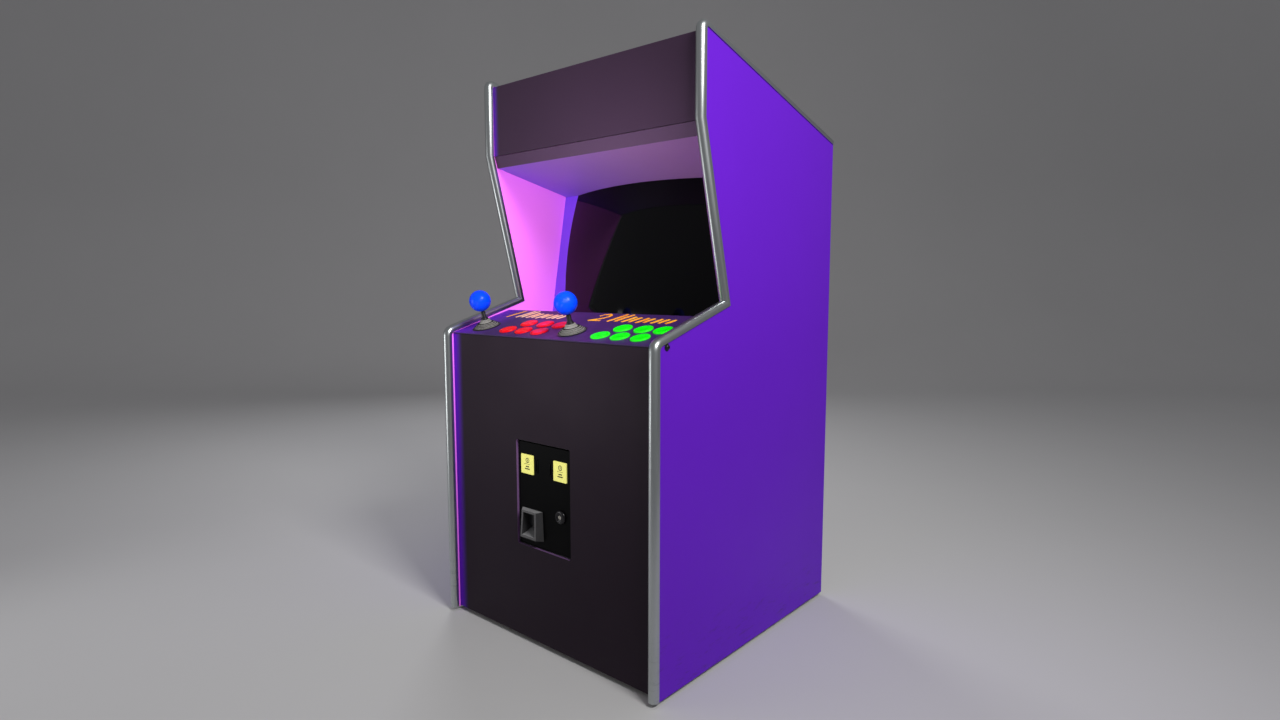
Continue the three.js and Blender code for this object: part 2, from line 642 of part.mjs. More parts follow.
function addMonitor(cabinet) {
  const axes = new THREE.Group();
  axes.position.set(0, ...BEZEL_FOOT);
  axes.rotation.x = -BEZEL_LEAN;
  const tube = makeMesh('crt_tube', pictureTube(), 'glass');
  const frame = makeMesh('monitor_frame', monitorFrame(), 'blackSteel');
  tube.position.z = TUBE_CENTRE;
  frame.position.z = TUBE_CENTRE;
  axes.add(tube, frame);
  cabinet.add(makeMesh('monitor_bezel', bezel(), 'panelPurple'), axes);
}

// ---------------------------------------------------------------- control panel

function buttonPlaces() {
  const places = [];
  for (const side of SIDES) {
    let number = 1;
    for (const row of [FRONT_ROW, BACK_ROW]) {
      for (const offset of row.offsets) {
        places.push({ name: `${side}_button_${number}`, side, x: STICK_X[side] + offset, s: row.s });
        number += 1;
      }
    }
  }
  return places;
}

// A steel pan with a flange folded down at each end and along its back edge.
function controlPanel() {
  const w = PANEL_HALF_WIDTH;
  const t = PANEL_SHEET;
  const flange = [-PANEL_FLANGE, -LAP];
  const pan = join(
    box([-w, w], [0, PANEL_LENGTH], [-t, 0]),
    box([-w, -w + t], [PANEL_FLANGE_START, PANEL_LENGTH], flange),
    box([w - t, w], [PANEL_FLANGE_START, PANEL_LENGTH], flange),
    box([-w, w], [PANEL_LENGTH - t, PANEL_LENGTH], flange),
  );
  const hole = (radius, x, s) => bar(radius, -3 * t, 3 * t, 16).translate(x, s, 0);
  const holes = buttonPlaces().map(({ x, s }) => hole(BUTTON_HOLE_RADIUS, x, s));
  for (const side of SIDES) holes.push(hole(STICK_HOLE_RADIUS, STICK_X[side], STICK_S));
  return cut(pan, ...holes);
}

// A push button's plunger: a flat disc with a softened edge on a short barrel.
function plunger() {
  const r = PLUNGER_RADIUS;
  const [inset, drop] = PLUNGER_EDGE;
  return turned([[0, PLUNGER_BOTTOM], [r, PLUNGER_BOTTOM], [r, PLUNGER_TOP - drop],
    [r - inset, PLUNGER_TOP], [0, PLUNGER_TOP]], 16);
}

// The stick's case under the panel: a flange, a collar in the hole and an open-bottomed box.
function stickHousing() {
  const flangeTop = -PANEL_SHEET - CLEARANCE;
  const flangeBottom = flangeTop - PANEL_SHEET;
  const { flangeHalf: [flangeW, flangeD], boxHalf: [boxW, boxD], wall, depth, bore } = HOUSING;
  const [roomW, roomD] = [boxW - wall, boxD - wall];
  const plate = join(
    box([-flangeW, flangeW], [-flangeD, flangeD], [flangeBottom, flangeTop]),
    bar(STICK_HOLE_RADIUS - CLEARANCE, flangeBottom, -CLEARANCE, 16),
    box([-boxW, boxW], [-boxD, boxD], [-depth, flangeTop - LAP]),
  );
  const room = box([-roomW, roomW], [-roomD, roomD], [-depth - OVERCUT, flangeBottom]);
  return cut(plate, room, bar(bore, -depth, OVERCUT, 16));
}

// A moulded rubber boot in four steps, with a domed crown centred on the stick's pivot.
function stickBoot() {
  const crown = [];
  for (let i = 0; i <= DOME_STEPS; i += 1) {
    const r = CROWN.outer - ((CROWN.outer - CROWN.inner) * i) / DOME_STEPS;
    crown.push([r, STICK_PIVOT + Math.sqrt(DOME_RADIUS ** 2 - r * r)]);
  }
  return turned([...BOOT_STEPS, ...crown, ...BOOT_INSIDE], 20);
}

// The gimbal ring: its pins run along X, and the stick's cross pin turns in it along Y.
function gimbalRing() {
  const { inner, outer, half, pinRadius, pinReach, pinStart } = GIMBAL;
  const ring = turned([[inner, -half], [outer, -half], [outer, half], [inner, half], [inner, -half]], 16);
  const pins = [[pinStart, pinReach], [-pinReach, -pinStart]];
  return join(ring, ...pins.map(([x0, x1]) => barAlongX(pinRadius, x0, x1, 6)));
}

// The stick: lower stub, cross pin, shaft and the neck cap over the boot, about its pivot.
function stickShaft() {
  const neck = [];
  const sweep = DOME_RADIUS + 0.5;
  for (let i = 0; i <= DOME_STEPS; i += 1) {
    const r = NECK_BORE + ((NECK_RADIUS - NECK_BORE) * i) / DOME_STEPS;
    neck.push([r, Math.sqrt(sweep ** 2 - r * r)]);
  }
  const top = BALL_HEIGHT - STICK_PIVOT - BALL_RADIUS + BALL_BORE.depth - LAP;
  const capTop = NECK_CAP[NECK_CAP.length - 1][1];
  const body = turned([
    [0, SHAFT_BOTTOM], [SHAFT_RADIUS, SHAFT_BOTTOM], [SHAFT_RADIUS, NECK_FOOT], ...neck, ...NECK_CAP,
    [SHAFT_TIP_RADIUS, capTop + LAP], [SHAFT_TIP_RADIUS, top], [0, top],
  ], 14);
  return join(body, barAlongY(CROSS_PIN.radius, -CROSS_PIN.reach, CROSS_PIN.reach, 8));
}

// The ball top, bored to take the end of the shaft.
function ballTop() {
  const { radius: bore, depth } = BALL_BORE;
  const start = Math.asin(bore / BALL_RADIUS);
  const points = [[0, -BALL_RADIUS + depth], [bore, -BALL_RADIUS + depth]];
  for (let i = 0; i < BALL_ROWS; i += 1) {
    const angle = start + ((Math.PI - start) * i) / BALL_ROWS;
    points.push([BALL_RADIUS * Math.sin(angle), -BALL_RADIUS * Math.cos(angle)]);
  }
  points.push([0, BALL_RADIUS]);
  return turned(points, 18);
}

function addControlPanel(cabinet) {
  const axes = new THREE.Group();
  axes.position.set(0, ...PANEL_FRONT);
  axes.rotation.x = PANEL_SLOPE;
  axes.add(makeMesh('control_panel', controlPanel(), 'panelPurple'));
  for (const { name, side, x, s } of buttonPlaces()) {
    const button = makeMesh(name, plunger(), side === 'left' ? 'red' : 'green');
    button.position.set(x, s, 0);
    axes.add(button);
  }
  for (const side of SIDES) {
    const place = new THREE.Group();
    place.position.set(STICK_X[side], STICK_S, 0);
    const gimbal = makeMesh(`${side}_stick_gimbal`, gimbalRing(), 'zinc');
    const shaft = makeMesh(`${side}_stick_shaft`, stickShaft(), 'blackSteel');
    const ball = makeMesh(`${side}_ball_top`, ballTop(), 'blueBall');
    gimbal.position.z = STICK_PIVOT;
    shaft.position.z = STICK_PIVOT;
    ball.position.z = BALL_HEIGHT;
    place.add(
      makeMesh(`${side}_stick_housing`, stickHousing(), 'zinc'),
      makeMesh(`${side}_stick_boot`, stickBoot(), 'rubber'),
      gimbal,
      shaft,
      ball,
    );
    axes.add(place);
  }
  cabinet.add(axes);
}

// ---------------------------------------------------------------- coin door

// A collar that lines the opening, with a flange behind the kick panel.
function coinDoorFrame() {
  const behind = KICK_FRONT + BOARD + CLEARANCE - COIN_DOOR_FACE;
  const lining = roundedRectangle(COIN_HALF_WIDTH - CLEARANCE, COIN_HALF_HEIGHT - CLEARANCE,
    COIN_CORNER - CLEARANCE);
  const [w, h] = COIN_FLANGE_HALF;
  const flange = box([-w, w], [behind, behind + PANEL_SHEET], [-h, h]);
  const passage = box([-COIN_FRAME_HALF_WIDTH, COIN_FRAME_HALF_WIDTH],
    [-BOARD, behind + BOARD], [-COIN_FRAME_HALF_HEIGHT, COIN_FRAME_HALF_HEIGHT]);
  return cut(join(frontExtrusion(lining, 0, behind + LAP), flange), passage);
}

// The door: a sheet with folded edges, cut for the buttons, slots, cup and lock.
function coinDoor() {
  const [w, h] = [COIN_DOOR_HALF_WIDTH, COIN_DOOR_HALF_HEIGHT];
  const { thickness, depth } = DOOR_FOLD;
  const shell = cut(box([-w, w], [0, depth], [-h, h]),
    box([-w + thickness, w - thickness], [DOOR_SHEET, depth + OVERCUT], [-h + thickness, h - thickness]));
  const through = [-OVERCUT, DOOR_SHEET + OVERCUT];
  const hole = (x, z, halfX, below, above = below) => (
    box([x - halfX, x + halfX], through, [z - below, z + above]));
  const pocketGap = 0.5;
  const { half, below, above } = CUP_POCKET;
  const [rejectHalfX, rejectHalfZ] = REJECT_HALF.map((size) => size + CLEARANCE);
  const tools = [
    hole(CUP.x, CUP.z, half + pocketGap, below + pocketGap, above + pocketGap),
    barAlongY(COIN_LOCK.bore, ...through, 20).translate(COIN_LOCK.x, 0, COIN_LOCK.z),
  ];
  for (const side of SIDES) {
    tools.push(hole(REJECT_X[side], REJECT_Z, rejectHalfX, rejectHalfZ));
    tools.push(hole(SLOT_X[side], REJECT_Z, ...SLOT_HALF));
  }
  return cut(shell, ...tools);
}

// The coin return: a tapered surround with a splayed mouth, and a square pocket with a ramp behind it.
function coinReturnCup() {
  const corner = (side, half, y, z) => new THREE.Vector3(CUP.x + side * half, y, z);
  const { half: pocketHalf, below, above, depth } = CUP_POCKET;
  const [roomHalfX, roomHalfZ] = CUP_ROOM.half;
  const outside = [];
  const mouth = [];
  for (const side of [-1, 1]) {
    for (const [z, half] of CUP_BASE) outside.push(corner(side, half, -CLEARANCE, z));
    for (const { z, half, y } of CUP_FRONT) outside.push(corner(side, half, y, z));
    for (const { z, half } of CUP_MOUTH) mouth.push(corner(side, half, CUP_FRONT[0].y - LAP, z));
    for (const z of [CUP.z - roomHalfZ, CUP.z + roomHalfZ]) mouth.push(corner(side, roomHalfX, LAP, z));
  }
  const across = [CUP.x - pocketHalf, CUP.x + pocketHalf];
  const pocket = box(across, [-LAP, depth], [CUP.z - below, CUP.z + above]);
  const room = box([CUP.x - roomHalfX, CUP.x + roomHalfX], [0, CUP_ROOM.depth],
    [CUP.z - roomHalfZ, CUP.z + roomHalfZ]);
  const inlet = box([CUP.x - CUP_INLET.half, CUP.x + CUP_INLET.half], [CUP_INLET.front, CUP_ROOM.depth],
    [CUP.z, CUP.z + above + OVERCUT]);
  const shell = cut(join(new ConvexGeometry(outside), pocket), new ConvexGeometry(mouth), room, inlet);
  const rampFoot = CUP.z - CUP_RAMP.below;
  const rampBack = CUP_ROOM.depth + LAP / 2;
  const ramp = sideExtrusion([[0, rampFoot], [rampBack, rampFoot], [rampBack, rampFoot + CUP_RAMP.rise]],
    2 * roomHalfX + LAP);
  return join(shell, ramp.translate(CUP.x, 0, 0));
}

// The flap hangs in the pocket's mouth from a pin along X.
function coinReturnFlap() {
  const { halfWidth, halfThickness, length, pin } = FLAP;
  return join(box([-halfWidth, halfWidth], [-halfThickness, halfThickness], [-length, 0]),
    barAlongX(pin, -halfWidth, halfWidth, 10));
}

// A lock with a domed head, a barrel and a cam that points down when it is unlocked.
function coinLock() {
  const { half, front, back, bottom, top } = COIN_CAM;
  const head = turned([[0, CLEARANCE], ...COIN_LOCK_HEAD], 18);
  const barrel = bar(COIN_LOCK.barrel, -COIN_LOCK.depth, LAP, 16);
  const body = join(head, barrel).rotateX(Math.PI / 2);
  const [w, h] = COIN_KEYWAY;
  const keyway = box([-w, w], [-9, -2], [-h, h]);
  return cut(join(body, box([-half, half], [front, back], [bottom, top])), keyway);
}

function rejectButton() {
  return frontExtrusion(roundedRectangle(...REJECT_HALF, REJECT_CORNER), REJECT_FRONT, REJECT_BACK, 3);
}

// A coin mechanism: a thin case behind the slot, notched where the coin runs.
function coinMech() {
  const { half, front, back, bottom, top } = MECH;
  const [slotHalfX, slotHalfZ] = SLOT_HALF;
  const body = box([-half, half], [front, back], [bottom, top]);
  const run = box([-slotHalfX, slotHalfX], [0, back - BOARD], [LAP - slotHalfZ, top + 2 * OVERCUT]);
  return cut(body, run);
}

function addCoinDoor(cabinet) {
  const axes = new THREE.Group();
  axes.position.set(0, COIN_DOOR_FACE, COIN_CENTRE_Z);
  axes.add(
    makeMesh('coin_door_frame', coinDoorFrame(), 'blackSteel'),
    makeMesh('coin_door', coinDoor(), 'blackSteel'),
    makeMesh('coin_return_cup', coinReturnCup(), 'gunmetal'),
  );
  const flap = makeMesh('coin_return_flap', coinReturnFlap(), 'blackSteel');
  flap.position.set(CUP.x, FLAP.y, CUP.z + FLAP.z);
  const lock = makeMesh('coin_lock', coinLock(), 'gunmetal');
  lock.position.set(COIN_LOCK.x, 0, COIN_LOCK.z);
  axes.add(flap, lock);
  for (const side of SIDES) {
    const button = makeMesh(`${side}_reject_button`, rejectButton(), 'yellow');
    button.position.set(REJECT_X[side], 0, REJECT_Z);
    const mech = makeMesh(`${side}_coin_mech`, coinMech(), 'gunmetal');
    mech.position.set(SLOT_X[side], 0, REJECT_Z);
    axes.add(button, mech);
  }
  cabinet.add(axes);
}

// ---------------------------------------------------------------- inside and back

function coinBox() {
  const { half, front, back, height, wall } = COIN_BOX;
  return cut(box([-half, half], [front, back], [0, height]),
    box([wall - half, half - wall], [front + wall, back - wall], [wall, height + OVERCUT]));
}

// The game board on its stand-offs, against the left side panel.
function gameBoard() {
  const { face, back, front, end, bottom, top, inset } = GAME_BOARD;
  const pieces = [box([face, back], [front, end], [bottom, top])];
  for (const y of [front + inset, end - inset]) {
    for (const z of [bottom + inset, top - inset]) {
      pieces.push(barAlongX(STAND_OFF.radius, 0, STAND_OFF.length, 10).translate(0, y, z));
    }
  }
  for (let row = 0; row < CHIPS.rows; row += 1) {
    for (let column = 0; column < CHIPS.columns; column += 1) {
      const y = CHIPS.first[0] + column * CHIPS.pitch[0];
      const z = CHIPS.first[1] + row * CHIPS.pitch[1];
      pieces.push(box([face + 2, CHIPS.face], [y, y + CHIPS.size[0]], [z, z + CHIPS.size[1]]));
    }
  }
  return join(...pieces);
}

// A closed case with its terminal strip along the front.
function powerSupply() {
  const { half: [w, d], height } = SUPPLY;
  const { half, reach, bottom, top } = SUPPLY_TERMINALS;
  return join(box([-w, w], [-d, d], [0, height]), box([-half, half], [-reach, LAP - d], [bottom, top]));
}

// The mains inlet: a flange on the back panel with a socket open to the rear.
function mainsInlet() {
  const block = ([w, h], y0, y1) => box([-w, w], [CABINET_DEPTH + y0, CABINET_DEPTH + y1], [-h, h]);
  const body = join(block(INLET.flange, CLEARANCE, INLET.face), block(INLET.body, -INLET.depth, LAP));
  return cut(body, block(INLET.socket, -INLET.socketDepth, INLET.face + OVERCUT));
}

// A board with vent slots along its top and a hole for the lock.
function rearDoor() {
  const { halfWidth, bottom, top, thickness } = REAR_DOOR;
  const edge = halfWidth - EDGE_GAP;
  const through = [CABINET_DEPTH - 2 * thickness, CABINET_DEPTH + OVERCUT];
  const panel = box([-edge, edge], [CABINET_DEPTH - thickness, CABINET_DEPTH],
    [bottom + EDGE_GAP, top - EDGE_GAP]);
  const tools = [barAlongY(REAR_LOCK.bore, ...through, 20).translate(REAR_LOCK.x, 0, REAR_LOCK.z)];
  for (let i = 0; i < VENTS.count; i += 1) {
    const z = VENTS.bottom + i * VENTS.pitch;
    tools.push(box([-VENTS.half, VENTS.half], through, [z, z + VENTS.slot]));
  }
  return cut(panel, ...tools);
}

// A round lock whose cam hangs down inside the door when it is unlocked.
function rearLock() {
  const { radius, barrel, depth } = REAR_LOCK;
  const inner = CABINET_DEPTH - depth;
  const head = barAlongY(radius, CABINET_DEPTH + CLEARANCE, CABINET_DEPTH + REAR_OVERHANG, 20);
  const body = barAlongY(barrel, inner, CABINET_DEPTH + LAP, 20);
  const cam = box([-REAR_CAM.half, REAR_CAM.half], [inner, inner + REAR_CAM.thickness],
    [REAR_CAM.bottom, REAR_CAM.top]);
  const [w, h] = REAR_KEYWAY;
  const keyway = box([-w, w], [CABINET_DEPTH + LAP, CABINET_DEPTH + OVERCUT], [-h, h]);
  return cut(join(head, body, cam), keyway);
}

function addInterior(cabinet) {
  const floor = FLOOR_BOTTOM + BOARD + CLEARANCE;
  const moneyBox = makeMesh('coin_box', coinBox(), 'zinc');
  moneyBox.position.z = floor;
  const board = makeMesh('game_board', gameBoard(), 'board');
  board.position.x = -FITTED_HALF_WIDTH;
  const supply = makeMesh('power_supply', powerSupply(), 'zinc');
  supply.position.set(...SUPPLY.place, floor);
  const inlet = makeMesh('mains_inlet', mainsInlet(), 'blackSteel');
  inlet.position.set(INLET.x, 0, INLET.z);
  const lock = makeMesh('rear_lock', rearLock(), 'zinc');
  lock.position.set(REAR_LOCK.x, 0, REAR_LOCK.z);
  cabinet.add(moneyBox, board, supply, inlet, makeMesh('rear_door', rearDoor(), 'black'), lock);
}

const cabinet = new THREE.Group();
addSides(cabinet);
addBoards(cabinet);
addFeet(cabinet);
addMarquee(cabinet);
addMonitor(cabinet);
addControlPanel(cabinet);
addCoinDoor(cabinet);
addInterior(cabinet);
cabinet.position.set(0, -(CABINET_DEPTH + REAR_OVERHANG - FRONT_OVERHANG) / 2, FOOT_GAP);

export default cabinet;
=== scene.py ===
import json
import math

import bmesh
import bpy
from mathutils import Matrix, Vector


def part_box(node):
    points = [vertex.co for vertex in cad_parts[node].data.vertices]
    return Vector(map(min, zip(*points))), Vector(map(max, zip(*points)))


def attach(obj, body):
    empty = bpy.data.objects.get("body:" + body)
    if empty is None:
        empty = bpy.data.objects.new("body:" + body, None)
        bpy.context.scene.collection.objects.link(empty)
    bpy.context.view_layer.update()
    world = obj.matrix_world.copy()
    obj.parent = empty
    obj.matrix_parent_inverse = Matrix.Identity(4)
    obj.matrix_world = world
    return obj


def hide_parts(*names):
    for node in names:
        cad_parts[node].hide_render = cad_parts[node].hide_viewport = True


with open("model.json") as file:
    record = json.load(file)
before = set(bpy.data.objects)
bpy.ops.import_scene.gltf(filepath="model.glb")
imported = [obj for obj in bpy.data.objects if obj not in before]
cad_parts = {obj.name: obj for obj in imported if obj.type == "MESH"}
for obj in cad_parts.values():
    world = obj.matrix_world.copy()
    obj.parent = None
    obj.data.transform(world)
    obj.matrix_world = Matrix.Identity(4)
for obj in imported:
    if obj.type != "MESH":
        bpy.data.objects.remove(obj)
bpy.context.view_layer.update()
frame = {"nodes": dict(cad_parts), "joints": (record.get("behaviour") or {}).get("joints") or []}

# A two-player upright arcade cabinet. Pieces are drawn in millimetres on the axes of the part that
# they belong to, and are scaled to metres as they are put in place.
joints = {joint["name"]: joint for joint in frame["joints"]}


# ------------------------------------------------------------------ side panels
# Two 22 mm boards carry the whole cabinet. Each is cut from laminated board: a purple sheet outside,
# a pink sheet inside, and a plain black band along the sawn back and bottom edges.
def add_node(tree, kind, inputs=None, **settings):
    """A shader node with its settings made and its sockets filled or linked."""
    made = tree.nodes.new(kind)
    for key, value in settings.items():
        setattr(made, key, value)
    for socket, value in (inputs or {}).items():
        if isinstance(value, bpy.types.NodeSocket):
            tree.links.new(value, made.inputs[socket])
        else:
            made.inputs[socket].default_value = value
    return made


def surface_life_group():
    """Slow smudges, fine grain and short rubbed marks, on the piece's own coordinates."""
    group = bpy.data.node_groups.new("surface_life", "ShaderNodeTree")
    for name, value in (("Smudge scale", 6.0), ("Grain scale", 900.0), ("Rub scale", 40.0)):
        socket = group.interface.new_socket(name, in_out="INPUT", socket_type="NodeSocketFloat")
        socket.default_value = value
    for name in ("Smudge", "Grain", "Rub"):
        group.interface.new_socket(name, in_out="OUTPUT", socket_type="NodeSocketFloat")
    source = group.nodes.new("NodeGroupInput")
    sink = group.nodes.new("NodeGroupOutput")
    place = group.nodes.new("ShaderNodeTexCoord").outputs["Object"]
    smudge = add_node(group, "ShaderNodeTexNoise",
                      {"Vector": place, "Scale": source.outputs["Smudge scale"], "Detail": 5.0,
                       "Roughness": 0.6})
    spread = add_node(group, "ShaderNodeMapRange", {"Value": smudge.outputs[0], 1: 0.32, 2: 0.68})
    grain = add_node(group, "ShaderNodeTexNoise",
                     {"Vector": place, "Scale": source.outputs["Grain scale"], "Detail": 2.0})
    stretch = add_node(group, "ShaderNodeMapping", {"Vector": place, "Scale": (1.0, 1.0, 0.22)})
    marks = add_node(group, "ShaderNodeTexNoise",
                     {"Vector": stretch.outputs[0], "Scale": source.outputs["Rub scale"], "Detail": 6.0,
                      "Roughness": 0.7, "Distortion": 0.6})
    rub = add_node(group, "ShaderNodeMapRange", {"Value": marks.outputs[0], 1: 0.62, 2: 0.74})
    group.links.new(spread.outputs[0], sink.inputs["Smudge"])
    group.links.new(grain.outputs[0], sink.inputs["Grain"])
    group.links.new(rub.outputs[0], sink.inputs["Rub"])
    return group


def floor_scuff_group():
    """A mask of kicks and mop marks that fades out about a hand's height above the floor."""
    group = bpy.data.node_groups.new("floor_scuff", "ShaderNodeTree")
    socket = group.interface.new_socket("Height", in_out="INPUT", socket_type="NodeSocketFloat")
    socket.default_value = 0.22
    group.interface.new_socket("Mask", in_out="OUTPUT", socket_type="NodeSocketFloat")
    source = group.nodes.new("NodeGroupInput")
    sink = group.nodes.new("NodeGroupOutput")
    place = group.nodes.new("ShaderNodeTexCoord").outputs["Object"]
    split = add_node(group, "ShaderNodeSeparateXYZ", {"Vector": place})
    fade = add_node(group, "ShaderNodeMapRange",
                    {"Value": split.outputs["Z"], 1: source.outputs["Height"], 2: 0.01})
    long_marks = add_node(group, "ShaderNodeMapping", {"Vector": place, "Scale": (1.0, 1.0, 5.0)})
    marks = add_node(group, "ShaderNodeTexNoise",
                     {"Vector": long_marks.outputs[0], "Scale": 14.0, "Detail": 8.0, "Roughness": 0.75})
    sharp = add_node(group, "ShaderNodeMapRange", {"Value": marks.outputs[0], 1: 0.54, 2: 0.7})
    mask = add_node(group, "ShaderNodeMath", {0: fade.outputs[0], 1: sharp.outputs[0]},
                    operation="MULTIPLY")
    group.links.new(mask.outputs[0], sink.inputs["Mask"])
    return group


surface_life = surface_life_group()
floor_scuff = floor_scuff_group()


def finish(name, colour, shade, roughness, metallic=0.0, coat=0.0, smudge=6.0, grain=900.0,
           relief=0.05, rub=40.0, rub_colour=None, scuff=0.0, spread=0.08, shine=0.5, painted_glow=None):
    """A coated surface: two tones in slow patches, uneven gloss, fine relief and faint rubbed marks.

    The last argument fades a purple glow in from the left edge, a painted reflection of light bounced off
    the side wall: the edge's x, its full width, its reach and its colour.
    """
    material = bpy.data.materials.new(name)
    material.use_nodes = True
    tree = material.node_tree
    shader = tree.nodes["Principled BSDF"]
    shader.inputs["Metallic"].default_value = metallic
    shader.inputs["Coat Weight"].default_value = coat
    shader.inputs["Coat Roughness"].default_value = 0.08
    shader.inputs["Specular IOR Level"].default_value = shine
    life = add_node(tree, "ShaderNodeGroup", node_tree=surface_life)
    life.inputs["Smudge scale"].default_value = smudge
    life.inputs["Grain scale"].default_value = grain
    life.inputs["Rub scale"].default_value = rub
    tone = add_node(tree, "ShaderNodeMix", {0: life.outputs["Smudge"], 6: (*colour, 1), 7: (*shade, 1)},
                    data_type="RGBA")
    worn = add_node(tree, "ShaderNodeMath", {0: life.outputs["Rub"], 1: 0.35}, operation="MULTIPLY")
    pale = rub_colour or [0.6 * channel + 0.06 for channel in colour]
    rubbed = add_node(tree, "ShaderNodeMix", {0: worn.outputs[0], 6: tone.outputs[2], 7: (*pale, 1)},
                      data_type="RGBA")
    last = rubbed.outputs[2]
    if scuff:
        kicks = add_node(tree, "ShaderNodeGroup", node_tree=floor_scuff)
        amount = add_node(tree, "ShaderNodeMath", {0: kicks.outputs["Mask"], 1: scuff},
                          operation="MULTIPLY")
        scuffed = add_node(tree, "ShaderNodeMix",
                           {0: amount.outputs[0], 6: last, 7: (0.02, 0.018, 0.022, 1)}, data_type="RGBA")
        last = scuffed.outputs[2]
    # Painted glow: a purple fade from the left edge that stands in for light bounced off the side wall.
    if painted_glow:
        edge, full, reach, tint = painted_glow
        place = add_node(tree, "ShaderNodeTexCoord")
        axes = add_node(tree, "ShaderNodeSeparateXYZ", {0: place.outputs["Object"]})
        fade = add_node(tree, "ShaderNodeMapRange",
                        {"Value": axes.outputs["X"], 1: edge + full, 2: edge + reach, 3: 1.0, 4: 0.0})
        soft = add_node(tree, "ShaderNodeMath", {0: fade.outputs[0], 1: 1.6}, operation="POWER")
        tinted = add_node(tree, "ShaderNodeMix", {0: soft.outputs[0], 6: last, 7: (*tint, 1)},
                          data_type="RGBA")
        last = tinted.outputs[2]
    tree.links.new(last, shader.inputs["Base Color"])
    gloss = add_node(tree, "ShaderNodeMapRange",
                     {"Value": life.outputs["Smudge"], 3: roughness, 4: roughness + spread})
    dull = add_node(tree, "ShaderNodeMath", {0: life.outputs["Rub"], 1: 0.12, 2: gloss.outputs[0]},
                    operation="MULTIPLY_ADD")
    tree.links.new(dull.outputs[0], shader.inputs["Roughness"])
    bump = add_node(tree, "ShaderNodeBump",
                    {"Strength": relief, "Distance": 0.0004, "Height": life.outputs["Grain"]})
    tree.links.new(bump.outputs[0], shader.inputs["Normal"])
    return material


purple_laminate = finish("purple_laminate", (0.132, 0.0110, 0.560), (0.126, 0.0104, 0.535), 0.38,
                         relief=0.2, grain=700.0, smudge=1.6, rub=26.0, rub_colour=(0.15, 0.02, 0.60),
                         scuff=0.6, shine=0.14)
pink_laminate = finish("pink_laminate", (0.95, 0.205, 0.97), (0.92, 0.19, 0.94), 0.38, relief=0.2,
                       grain=700.0, smudge=2.0, rub=30.0, rub_colour=(0.95, 0.24, 0.97), shine=0.2)
black_edge_band = finish("black_edge_band", (0.012, 0.010, 0.014), (0.02, 0.017, 0.022), 0.5,
                         grain=500.0, relief=0.2, scuff=0.4, shine=0.3)


def new_piece(name, bm, materials, body, nodes=(), sharp=32.0, weighted=False):
    """Makes the drawn mesh a piece that rides on a body and stands for its CAD nodes."""
    mesh = bpy.data.meshes.new(name)
    bm.to_mesh(mesh)
    bm.free()
    for material in materials:
        mesh.materials.append(material)
    mesh.shade_smooth()
    mesh.set_sharp_from_angle(angle=math.radians(sharp))
    piece = bpy.data.objects.new(name, mesh)
    bpy.context.scene.collection.objects.link(piece)
    if weighted:
        normals = piece.modifiers.new("flat_faces", "WEIGHTED_NORMAL")
        normals.keep_sharp = True
    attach(piece, body)
    if nodes:
        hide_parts(*nodes)
    return piece


def eased_solid(node, width, segments=2, corner=28.0):
    """A clean copy of a CAD solid with its doubles merged and every hard edge eased."""
    bm = bmesh.new()
    bm.from_mesh(frame["nodes"][node].data)
    bmesh.ops.remove_doubles(bm, verts=bm.verts, dist=0.00002)
    bmesh.ops.dissolve_limit(bm, angle_limit=math.radians(0.8), verts=bm.verts, edges=bm.edges,
                             use_dissolve_boundaries=False, delimit={"NORMAL"})
    bmesh.ops.recalc_face_normals(bm, faces=bm.faces)
    hard = [edge for edge in bm.edges
            if edge.is_manifold and edge.calc_face_angle(0.0) > math.radians(corner)]
    bmesh.ops.bevel(bm, geom=hard, offset=width, offset_type="OFFSET", segments=segments,
                    affect="EDGES", profile=0.5, material=-1, clamp_overlap=True, loop_slide=True)
    return bm


def eased_piece(name, node, materials, body, width=0.001, segments=2, choose=None):
    """A CAD solid's eased copy; choose gives the material number of a face where there are several."""
    bm = eased_solid(node, width, segments)
    if choose:
        for face in bm.faces:
            face.material_index = choose(face)
    return new_piece(name, bm, materials, body, [node], weighted=True)


for side, inward in (("left", 1), ("right", -1)):
    def panel_face(face, inward=inward):
        if abs(face.normal.x) < 0.7:
            return 2
        return 1 if face.normal.x * inward > 0 else 0
    eased_piece(f"{side}_side", f"{side}_side_panel", [purple_laminate, pink_laminate, black_edge_band],
                "cabinet", 0.0008, 2, panel_face)


# ------------------------------------------------------------------ edge moulding
# A bright half-round moulding clips over the front and top edges of each side. It is a metallised
# extrusion, mitred at the armrest's back and the throat, and drawn round at the two outer corners.
back_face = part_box("back_panel")[1].y
floor_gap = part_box("left_side_panel")[0].z
MM = 0.001
panel_depth = 865
front_line = back_face - panel_depth * MM
cabinet_axes = Matrix.Translation((0, front_line, floor_gap)) @ Matrix.Scale(MM, 4)

moulding_chrome = finish("moulding_chrome", (0.50, 0.53, 0.535), (0.46, 0.49, 0.495), 0.3, metallic=1.0,
                         smudge=5.0, grain=1400.0, relief=0.05, rub=60.0, scuff=0.5, spread=0.06)


def arc_corner(previous, corner, following, radius, steps=6):
    """The points of a rounded corner between two straight runs."""
    corner = Vector(corner)
    back = (Vector(previous) - corner).normalized() * radius
    ahead = (Vector(following) - corner).normalized() * radius
    return [corner + back * (1 - i / steps) ** 2 + ahead * (i / steps) ** 2 for i in range(steps + 1)]


def offset_path(points, distance):
    """A path of (y, z) points moved sideways, with mitred corners."""
    moved = []
    for i, point in enumerate(points):
        before = (point - points[i - 1]).normalized() if i else (points[1] - point).normalized()
        after = (points[i + 1] - point).normalized() if i < len(points) - 1 else before
        mid = before + after
        moved.append(point + Vector((-mid.y, mid.x)) * (2 * distance / mid.length_squared))
    return moved


